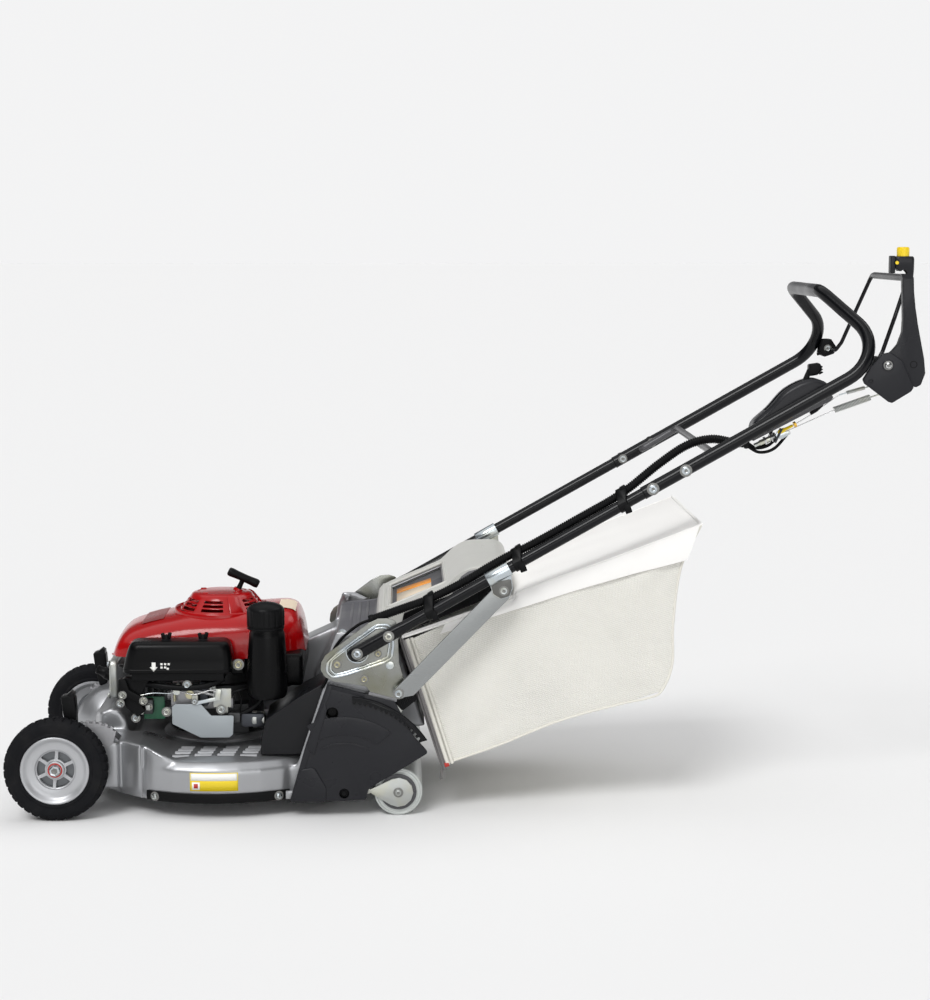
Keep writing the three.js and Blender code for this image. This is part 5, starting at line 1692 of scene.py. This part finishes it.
def build_paddle():
    """Blade lever: a tall paddle, wide at its pivot, with its button."""
    left = [(1619.5, 1046), (1621, 1010), (1623, 962), (1622, 938), (1614, 915), (1604, 903),
            (1592, 893), (1589, 877), (1596, 862), (1616, 858), (1640, 838), (1650, 833),
            (1660, 838), (1668, 860), (1665, 888), (1657, 926), (1651, 955), (1646, 985),
            (1642.5, 1015), (1641, 1046)]
    lever = add_plate("paddle", rounded_outline(left, 7, 4), -262.4, -247.6, "charcoal", None,
                      4.2, 4)
    rim = []
    for x, y, z in curve_points([(1624, -262.6, 1040), (1624.5, -262.6, 962),
                                 (1621, -262.6, 928), (1611, -262.6, 906),
                                 (1600, -262.4, 893)], 40):
        rim.append((x, y + 1.3, z))
    edge = add_tube("paddle_edge", rim, 1.1, "charcoal", None, 8, angle=38)
    ring = turned("paddle_ring", [(6.8, 0), (7.0, 0.9), (5.6, 1.0), (5.4, 0.1), (0.3, -0.3),
                                  (0.3, -1), (6.8, -1), (6.8, 0)],
                  (1645, -261.5, 877), (0, -1, 0), "black_plastic", None, 36)
    head = stack("paddle_head", [
        [(x, y, z) for x, y in rounded_rectangle(x0, 1641 - a, -263 - b, -247 + b, 4 + b * 0.5)]
        for z, x0, a, b in ((1036, 1622, 1.5, -1.5), (1042, 1620, 0.4, 0), (1050, 1617, 0.0, 1.5),
                            (1056, 1609, 0, 4), (1060, 1605, 0, 5.5), (1076, 1603.5, 0.0, 6),
                            (1080, 1604.5, 0.8, 5), (1082, 1606.5, 2.6, 3.5))
    ], "charcoal", None, 35)
    well = turned("paddle_bore", [(0.3, 0), (12.3, 0), (12.3, 60), (0.3, 60)],
                  (1621, -255, 1049), (0, 0, 1), "charcoal", None, 40)
    cut_with(head, [well])
    smooth(head, 35)
    socket = turned("paddle_socket", [(12.3, 25), (13.6, 25), (13.6, 39), (12.3, 39),
                                      (12.3, 25)],
                    (1621, -255, 1043), (0, 0, 1), "charcoal", None, 40)
    tab = add_block("paddle_tab", (1595.5, -265, 1050), (1605, -246, 1083), "charcoal", None,
                    2.0, 3)
    dot = turned("paddle_dot", [(0.3, 0), (3.4, 0), (3.2, 0.9), (0.3, 1.1)],
                 (1606.5, -270.2, 1070), (0, -1, 0), "yellow", None, 28)
    paddle = merged("blade_paddle", [lever, edge, ring, head, socket, tab, dot],
                    "blade_control")
    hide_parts("blade_lever")
    button = turned("blade_button_cap",
                    [(0.3, 0), (11.9, 0), (11.9, 28), (12.0, 33.5), (11.2, 35.8), (9.0, 36.8),
                     (0.3, 37.2)],
                    (1621, -255, 1062.6), (0, 0, 1), "yellow", "button", 56, 36)
    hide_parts("blade_button")


def build_bail():
    """Thin drive bail with a thicker grip bar across the top."""
    corners = mirrored([(1590, -247, 880), (1590, -197, 880), (1601, -190, 897),
                        (1626, -177, 962), (1655, -157, 1039)])
    path = rounded_corners(corners, [8, 9, 60, 18, 18, 60, 9, 8], 10)
    radii = []
    for q in path:
        across = max(0.0, min(1.0, (160 - abs(q.y)) / 12)) if q.z > 1020 else 0.0
        radii.append(4 + 1.7 * across)
    wire = add_tube("bail_wire", path, radii, "gloss_black", "bail", 20)
    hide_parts("drive_bail")
    sleeve = [(1655, y, 1039.2) for y in np.linspace(-140, 140, 25)]
    sleeve_radii = [5.9] + [6.9] * 23 + [5.9]
    add_tube("bail_grip", sleeve, sleeve_radii, "satin_grey", "bail", 24)


def build_cable_hardware():
    """Springs, wires and adjusters under the left tube."""
    bits = []
    rod_a, rod_b = Vector((1345, -246, 721)), Vector((1500, -251, 791))

    def tube(name, points, radius, finish, sides=10):
        bits.append(add_tube(name, points, radius, finish, None, sides, angle=60))
    tube("wire_long", [rod_a, rod_b], 0.9, "bright_steel")
    tube("ferrule", [rod_a, rod_a.lerp(rod_b, 0.06), rod_a.lerp(rod_b, 0.07),
                     rod_a.lerp(rod_b, 0.26), rod_a.lerp(rod_b, 0.27),
                     rod_a.lerp(rod_b, 0.36)],
         [4.2, 4.2, 5.6, 5.6, 3.4, 3.0], "zinc", 16)
    for part in (0.12, 0.2, 0.24):
        place = rod_a.lerp(rod_b, part)
        axis = rod_b - rod_a
        bits.append(turned(f"lock_nut_{part}", [(5.4, 0), (9.0, 0.4), (9.0, 4.2), (5.4, 4.6),
                                                (5.4, 0)],
                           tuple(place), tuple(axis), "bright_steel", None, 6, 20))

    def spring(name, start, end, radius, wire, turns, finish):
        tube(name, coil_points(start, end, radius, turns, 10), wire, finish, 6)

    spring("return_spring", (1497, -251, 789.7), (1566, -251, 814), 5.3, 1.15, 27, "zinc_green")
    tube("spring_core", [(1499, -251, 790.4), (1564, -251, 813.3)], 4.3, "dark_steel", 16)
    spring("drive_spring", (1522, -242, 822), (1556, -246, 832), 3.2, 0.8, 16, "zinc_green")
    tube("drive_hook", [(1508, -241, 818), (1524, -242, 822.6)], 1.3, "zinc")
    tube("drive_hook_end", [(1554, -246, 831.5), (1566, -250, 835), (1578, -256, 838)], 1.3,
         "zinc")
    tube("hook_end", [(1564, -251, 813.3), (1574, -255, 817), (1583, -262, 821)], 1.6, "zinc")
    tube("drive_wire", [(1392, -250, 747), (1424, -249, 763), (1462, -247, 786),
                        (1508, -241, 818)], 0.9, "bright_steel")
    tube("brass_adjuster", [(1389, -250, 745.5), (1393, -250, 747.5), (1402, -250, 752),
                            (1403, -250, 752.5), (1418, -249.6, 760)],
         [3.0, 4.6, 4.6, 3.2, 2.6], "yellow", 14)
    tube("brass_nut", [(1420, -249.4, 761), (1424, -249.2, 763)], 6.4, "brass", 6)
    bits.append(add_plate("cable_plate", rounded_outline([
        (1382, 736), (1388, 750), (1402, 748), (1412, 750), (1414, 744), (1398, 734)], 2),
        -252, -249, "zinc", None, 0.7, 2))
    bits.append(add_block("cable_tab", (1388, -262, 726), (1391, -240, 756), "dark_steel", None,
                          0.8, 2, -0.45))
    tube("switch_boot", [(1452, -247, 782), (1462, -247, 790), (1472, -247, 799),
                         (1478, -248, 808)], [3.2, 5.0, 4.4, 2.2], "black_plastic", 14)
    hardware = merged("cable_hardware", bits, "mower")
    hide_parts("blade_cable")


# --------------------------------------------------------------------- flap
def build_flap():
    """Moulded flap over the chute: framed window, ramp and raised rear hump."""
    top = [(540, 322), (537.5, 330), (538.5, 338), (543, 343), (552, 345), (575, 346.5),
           (604, 349), (614, 352), (618, 362), (620, 374),
           (624, 381), (632, 386), (660, 399), (708, 419.5), (748, 436.5), (760, 444), (770, 454),
           (781, 465), (795, 474.5), (808, 479), (822, 480.5), (855, 481), (868, 479.5),
           (878, 475), (884, 467)]
    low = [(884, 436), (786, 397), (700, 362), (668, 350), (655, 326)]
    body_top = curve_points([(x, 0, z) for x, z in top], 60)
    outline = [(q.x, q.z) for q in body_top] + low
    rings = []
    for y, shrink in ((-186, 7), (-185, 3.6), (-181.5, 1.0), (-176, 0), (176, 0), (181.5, 1.0),
                      (185, 3.6), (186, 7)):
        middle = Vector((715, 415))
        ring = []
        for x, z in outline:
            inward = (middle - Vector((x, z))).normalized() * shrink
            ring.append((x + inward.x, y, z + inward.y))
        rings.append(ring)
    shell = stack("flap_shell", rings, "warm_grey", None, 34)
    slope = math.atan2(60, 140)
    pocket = add_block("flap_pocket", (641, -128, 397), (757, 128, 433), "warm_grey", None, 5, 3,
                       slope)
    hollow = add_plate("flap_hollow", [
        (545, 300), (545, 330), (552, 337), (608, 340), (622, 350), (632, 374), (750, 427),
        (796, 466), (872, 470), (876, 440), (876, 380), (700, 300)], -180, 180, "warm_grey", None, 0)
    cut_with(shell, [hollow, pocket])
    # The front part over the hinge is coloured darker grey: painted shade on its top, seen at a
    # grazing angle.
    shell.data.materials.append(materials["hinge_grey"])
    edge = at(617, 0, 0).x
    for face in shell.data.polygons:
        if face.center.x < edge:
            face.material_index = 1
    smooth(shell, 34)
    pieces = [shell]

    def on_top(x):
        return 378 + (x - 612) * 60 / 140

    def sheet_on(name, x0, x1, y0, y1, drop, material, lean=0):
        rows = [[(x, y - slant, on_top(x) - drop) for y in (y0, y1)]
                for x, slant in ((x0, 0), (x1, lean))]
        vertices = [at(*q) for row in rows for q in row]
        obj = add_object(name, vertices, [(0, 1, 3, 2)], material, None)
        thicken(obj, 0.8)
        return obj
    # The window's floor takes the same darker grey: painted shade down in the recess.
    pieces.append(sheet_on("window_floor", 642, 755, -130, 130, 11, "hinge_grey"))
    pieces.append(sheet_on("window_label", 658, 728, -78, 38, 9.6, "sticker_cream", 40))
    pieces.append(sheet_on("window_label_band", 658, 728, 38, 92, 9.6, "sticker_orange", 40))
    # Raised frame round the window.
    outer = [(x, y, on_top(x) - 0.2) for x, y in rounded_rectangle(640, 757, -129, 129, 9, 5)]
    pieces.append(add_tube("window_frame", outer, 3.4, "warm_grey", None, 10, True, 60))
    inner = [(x, y, on_top(x) - 6) for x, y in rounded_rectangle(645, 752, -124, 124, 6, 4)]
    pieces.append(add_tube("window_inner", inner, 2.2, "bracket_grey", None, 8, True, 60))
    # Ribs across the front slope, the front three in the darker grey of painted shade, and the darker
    # cheek on the hump's side: painted shade of the hump's end wall.
    for k, x in enumerate((562, 578, 594, 628)):
        base = on_top(x) if k == 3 else 345.4 + (x - 574) * 0.1
        pieces.append(add_block(f"flap_rib_{k}", (x, -172, base - 2.6), (x + 6, 172, base + 3.2),
                                "warm_grey" if k == 3 else "hinge_grey", None, 1.8, 3,
                                slope if k == 3 else 0.1))
    for side in (-1, 1):
        low_y, high_y = span(side, 184.8, 187.2)
        pieces.append(add_plate(f"hump_cheek_{side}", rounded_outline([
            (764, 420), (772, 442), (784, 460), (798, 470), (820, 475.5), (856, 475.5),
            (874, 470), (879, 440)], 8), low_y, high_y, "mid_grey", None, 0.9, 3))
        low_y, high_y = span(side, 183, 187.6)
        pieces.append(add_plate(f"flap_skirt_{side}", rounded_outline([
            (664, 350), (672, 388), (764, 424), (880, 452), (883, 437), (800, 402), (700, 362),
            (676, 353)], 5), low_y, high_y, "black_satin", None, 1.2, 3))
    for x in (836, 862):
        for y in (-60, 84):
            pieces.append(turned(f"flap_dot_{x}_{y}", [(3.2, 0), (2.8, 1.0), (0.3, 1.2)],
                                 (x, y, 480.6), (0, 0, 1), "warm_grey", None, 20))
    flap = merged("chute_flap", pieces, "flap")
    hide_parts("rear_flap")
    # Hinge spring and knuckles that stay with the machine.
    spring = []
    for k in range(121):
        turn = 2 * math.pi * k / 12
        spring.append((552 + 8.4 * math.cos(turn), -228 + 30 * k / 120, 350 + 8.4 * math.sin(turn)))
    add_tube("hinge_spring", spring, 1.5, "zinc", "mower", 8)
    for side, label in SIDES:
        low_y, high_y = span(side, 190, 229)
        add_block(f"hinge_block_{label}", (560, low_y, 320), (604, high_y, 343),
                  "charcoal_light", "mower", 2.5, 3, 0.33)


# ---------------------------------------------------------------------- bag
LEAN = 0.3066


def mouth(down, out, y):
    return (
        664 + down * math.sin(LEAN) + out * math.cos(LEAN), y,
        339 - down * math.cos(LEAN) + out * math.sin(LEAN),
    )


# Lines of the bag in side view: its rear, and its floor up to the rear corner.
BAG_REAR = [(1172, 0, 236), (1184, 0, 252), (1195, 0, 290), (1196, 0, 372), (1211, 0, 482),
            (1246, 0, 562)]
BAG_FLOOR = [(800, 0, 112), (860, 0, 133), (977, 0, 180), (1095, 0, 212)]


def build_bag():
    refine("bag_frame", "bag_steel", 0.8, 2, 35)
    # Side panels: one grid each, mouth to rear seam, bulging between their edges.
    for side, label in SIDES:
        columns, rows = 64, 40
        grid = []
        rear = curve_points(BAG_REAR, rows + 1)
        front = [Vector(mouth(258 - 254 * k / rows, 14, 0)) for k in range(rows + 1)]
        bottom = curve_points([front[0], *BAG_FLOOR, rear[0]], columns + 1)
        top = curve_points([front[-1], (760, 0, 374), (880, 0, 416), (905, 0, 436),
                            (1080, 0, 498), rear[-1]], columns + 1)
        for i in range(columns + 1):
            u = i / columns
            line = []
            for k in range(rows + 1):
                v = k / rows
                point = (
                    front[k] * (1 - u) + rear[k] * u + bottom[i] * (1 - v) + top[i] * v
                    - (front[0] * (1 - u) * (1 - v) + front[-1] * (1 - u) * v
                       + rear[0] * u * (1 - v) + rear[-1] * u * v)
                )
                # The cloth belly stands proud; folds fan out from the corners.
                belly = 9.5 * math.sin(math.pi * u) ** 0.6 * math.sin(math.pi * v) ** 0.7
                folds = 0.0
                for cu, cv, turn, size in ((0.0, 1.0, 2.1, 2.6), (1.0, 1.0, 5.0, 3.2),
                                           (1.0, 0.0, 3.4, 2.4), (0.05, 0.0, 0.4, 2.0)):
                    du, dv = (u - cu) * 1.5, v - cv
                    reach = math.hypot(du, dv)
                    angle = math.atan2(dv, du)
                    folds += size * math.exp(-((reach - 0.22) / 0.2) ** 2) * math.sin(
                        7 * angle + turn)
                drag = 1.6 * math.sin(5.2 * u + 2.3 * v + side) * math.sin(math.pi * v)
                hold = min(1.0, 9 * u * (1 - u)) * min(1.0, 9 * v * (1 - v))
                out = belly + (folds + drag) * hold
                line.append((point.x, side * (219 + out), point.z))
            grid.append(line)
        panel = patch(f"bag_side_{label}", grid, "mesh_cloth", "bag", 0.0011, 80)
        if side < 0:
            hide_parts("grass_bag")


def build_bag_skins():
    """Top, bottom and rear panels between the two sides, and the bindings."""
    spans = [219 * math.sin(math.pi / 2 * k / 12) for k in range(-12, 13)]

    def across(name, line, sag, material, flat):
        grid = []
        for i, point in enumerate(line):
            u = i / (len(line) - 1)
            row = []
            for y in spans:
                t = y / 219
                belly = sag(u) * (1 - t * t)
                ripple = 1.3 * math.sin(11 * t + 4 * u) * (1 - t * t) * math.sin(math.pi * u)
                ahead = line[min(i + 1, len(line) - 1)] - line[max(i - 1, 0)]
                normal = Vector((-ahead.z, 0, ahead.x)).normalized()
                push = normal * (belly + ripple)
                row.append((point.x + push.x, y, point.z + push.z))
            grid.append(row)
        panel = patch(name, grid, material, "bag", 0.0014, 80)

    top = curve_points([(668, 0, 344), (760, 0, 375), (880, 0, 417.5), (905, 0, 438),
                        (1080, 0, 501), (1246, 0, 564)], 60)
    across("bag_top", top, lambda u: 3.5 * math.sin(math.pi * u),
                   "smooth_cloth", (0.44, 0.64))
    bottom = curve_points([(752, 0, 96), *BAG_FLOOR, BAG_REAR[0]], 44)
    across("bag_bottom", bottom, lambda u: -4 * math.sin(math.pi * u), "mesh_cloth",
                  (0.44, 0.46))
    across("bag_rear", curve_points(BAG_REAR, 40), lambda u: -7 * math.sin(math.pi * u), "mesh_cloth",
                  (0.44, 0.36))
    # Flat border of the top cover that is sewn down over each side panel.
    for side, label in SIDES:
        edge = curve_points([(752, 0, 372), (880, 0, 417), (905, 0, 437.5), (1080, 0, 500),
                             (1246, 0, 563.5)], 56)
        hem = curve_points([(742, 0, 354), (860, 0, 392), (960, 0, 424), (1080, 0, 460),
                            (1222, 0, 497)], 56)
        grid = []
        for i in range(56):
            row = []
            for k in range(7):
                v = k / 6
                point = edge[i].lerp(hem[i], v)
                bulge = 2.4 + 7.6 * math.sin(math.pi * min(v * 0.62 + 0.05, 1))
                swell = 1.2 * math.sin(i * 0.42 + side) * v
                row.append((point.x, side * (218.5 + bulge + swell), point.z))
            grid.append(row)
        border = patch(f"bag_border_{label}", grid, "smooth_cloth", "bag", 0.0014, 80)


def build_bag_trim():
    for side, label in SIDES:
        # Cream binding down each side of the mouth, with two stitched rolls.
        for number, (out, radius, proud) in enumerate(((15, 4.2, 1.5), (24, 3.0, 3.0))):
            line = [mouth(262 - 262 * k / 30, out, side * (223 + proud)) for k in range(31)]
            add_tube(f"mouth_binding_{label}_{number}", line, radius, "binding", "bag",
                     10)
        # Piping along the lower, rear and upper seams.
        seam = curve_points([(x, side * 220, z) for x, z in (
            (752, 95), (800, 111), (860, 132), (977, 179), (1095, 211), (1150, 223),
            (1176, 237), (1196, 289), (1197, 372), (1211, 482), (1249, 564))], 120)
        add_tube(f"bag_piping_{label}", seam, 2.3, "binding", "bag", 8)
        upper = curve_points([(x, side * 220, z) for x, z in (
            (668, 345), (760, 376), (880, 418), (905, 438.5), (1080, 501.5), (1249, 565))], 90)
        add_tube(f"bag_top_seam_{label}", upper, 1.9, "smooth_cloth", "bag", 8)
        # Wire of the bag's own frame, under the cloth at the mouth.
        wire = [mouth(-4 + 274 * k / 20, 6, side * 228.6) for k in range(21)]
        add_tube(f"mouth_wire_{label}", wire, 2.6, "bag_steel", "bag", 10)
    rear = [(1249, y, 565.5) for y in np.linspace(-221, 221, 40)]
    add_tube("bag_rear_seam", rear, 3.0, "smooth_cloth", "bag", 10)
    for side, label in SIDES:
        low, high = span(side, 214, 229)
        add_block(f"corner_tab_{label}", (746, low, 89), (760, high, 98), "red_paint", "bag", 2.5,
                  3, 0.3)


# --------------------------------------------------------------- everything
def build_all():
    add_all_materials()
    add_camera()
    add_studio()
    build_deck()
    build_deck_labels()
    build_wheels()
    build_shroud()
    build_recoil()
    build_air_cleaner()
    build_fuel_parts()
    build_engine_blocks()
    build_carburettor_details()
    build_engine_seat()
    build_rotating_parts()
    refine("transmission_cover", "charcoal_light", 5, 4, 35)
    build_rear_covers()
    build_roller()
    build_handle_plates()
    build_tubes()
    build_cables()
    build_console()
    build_bracket()
    build_paddle()
    build_bail()
    build_cable_hardware()
    build_flap()
    build_bag()
    build_bag_skins()
    build_bag_trim()
    build_bolts()


build_all()
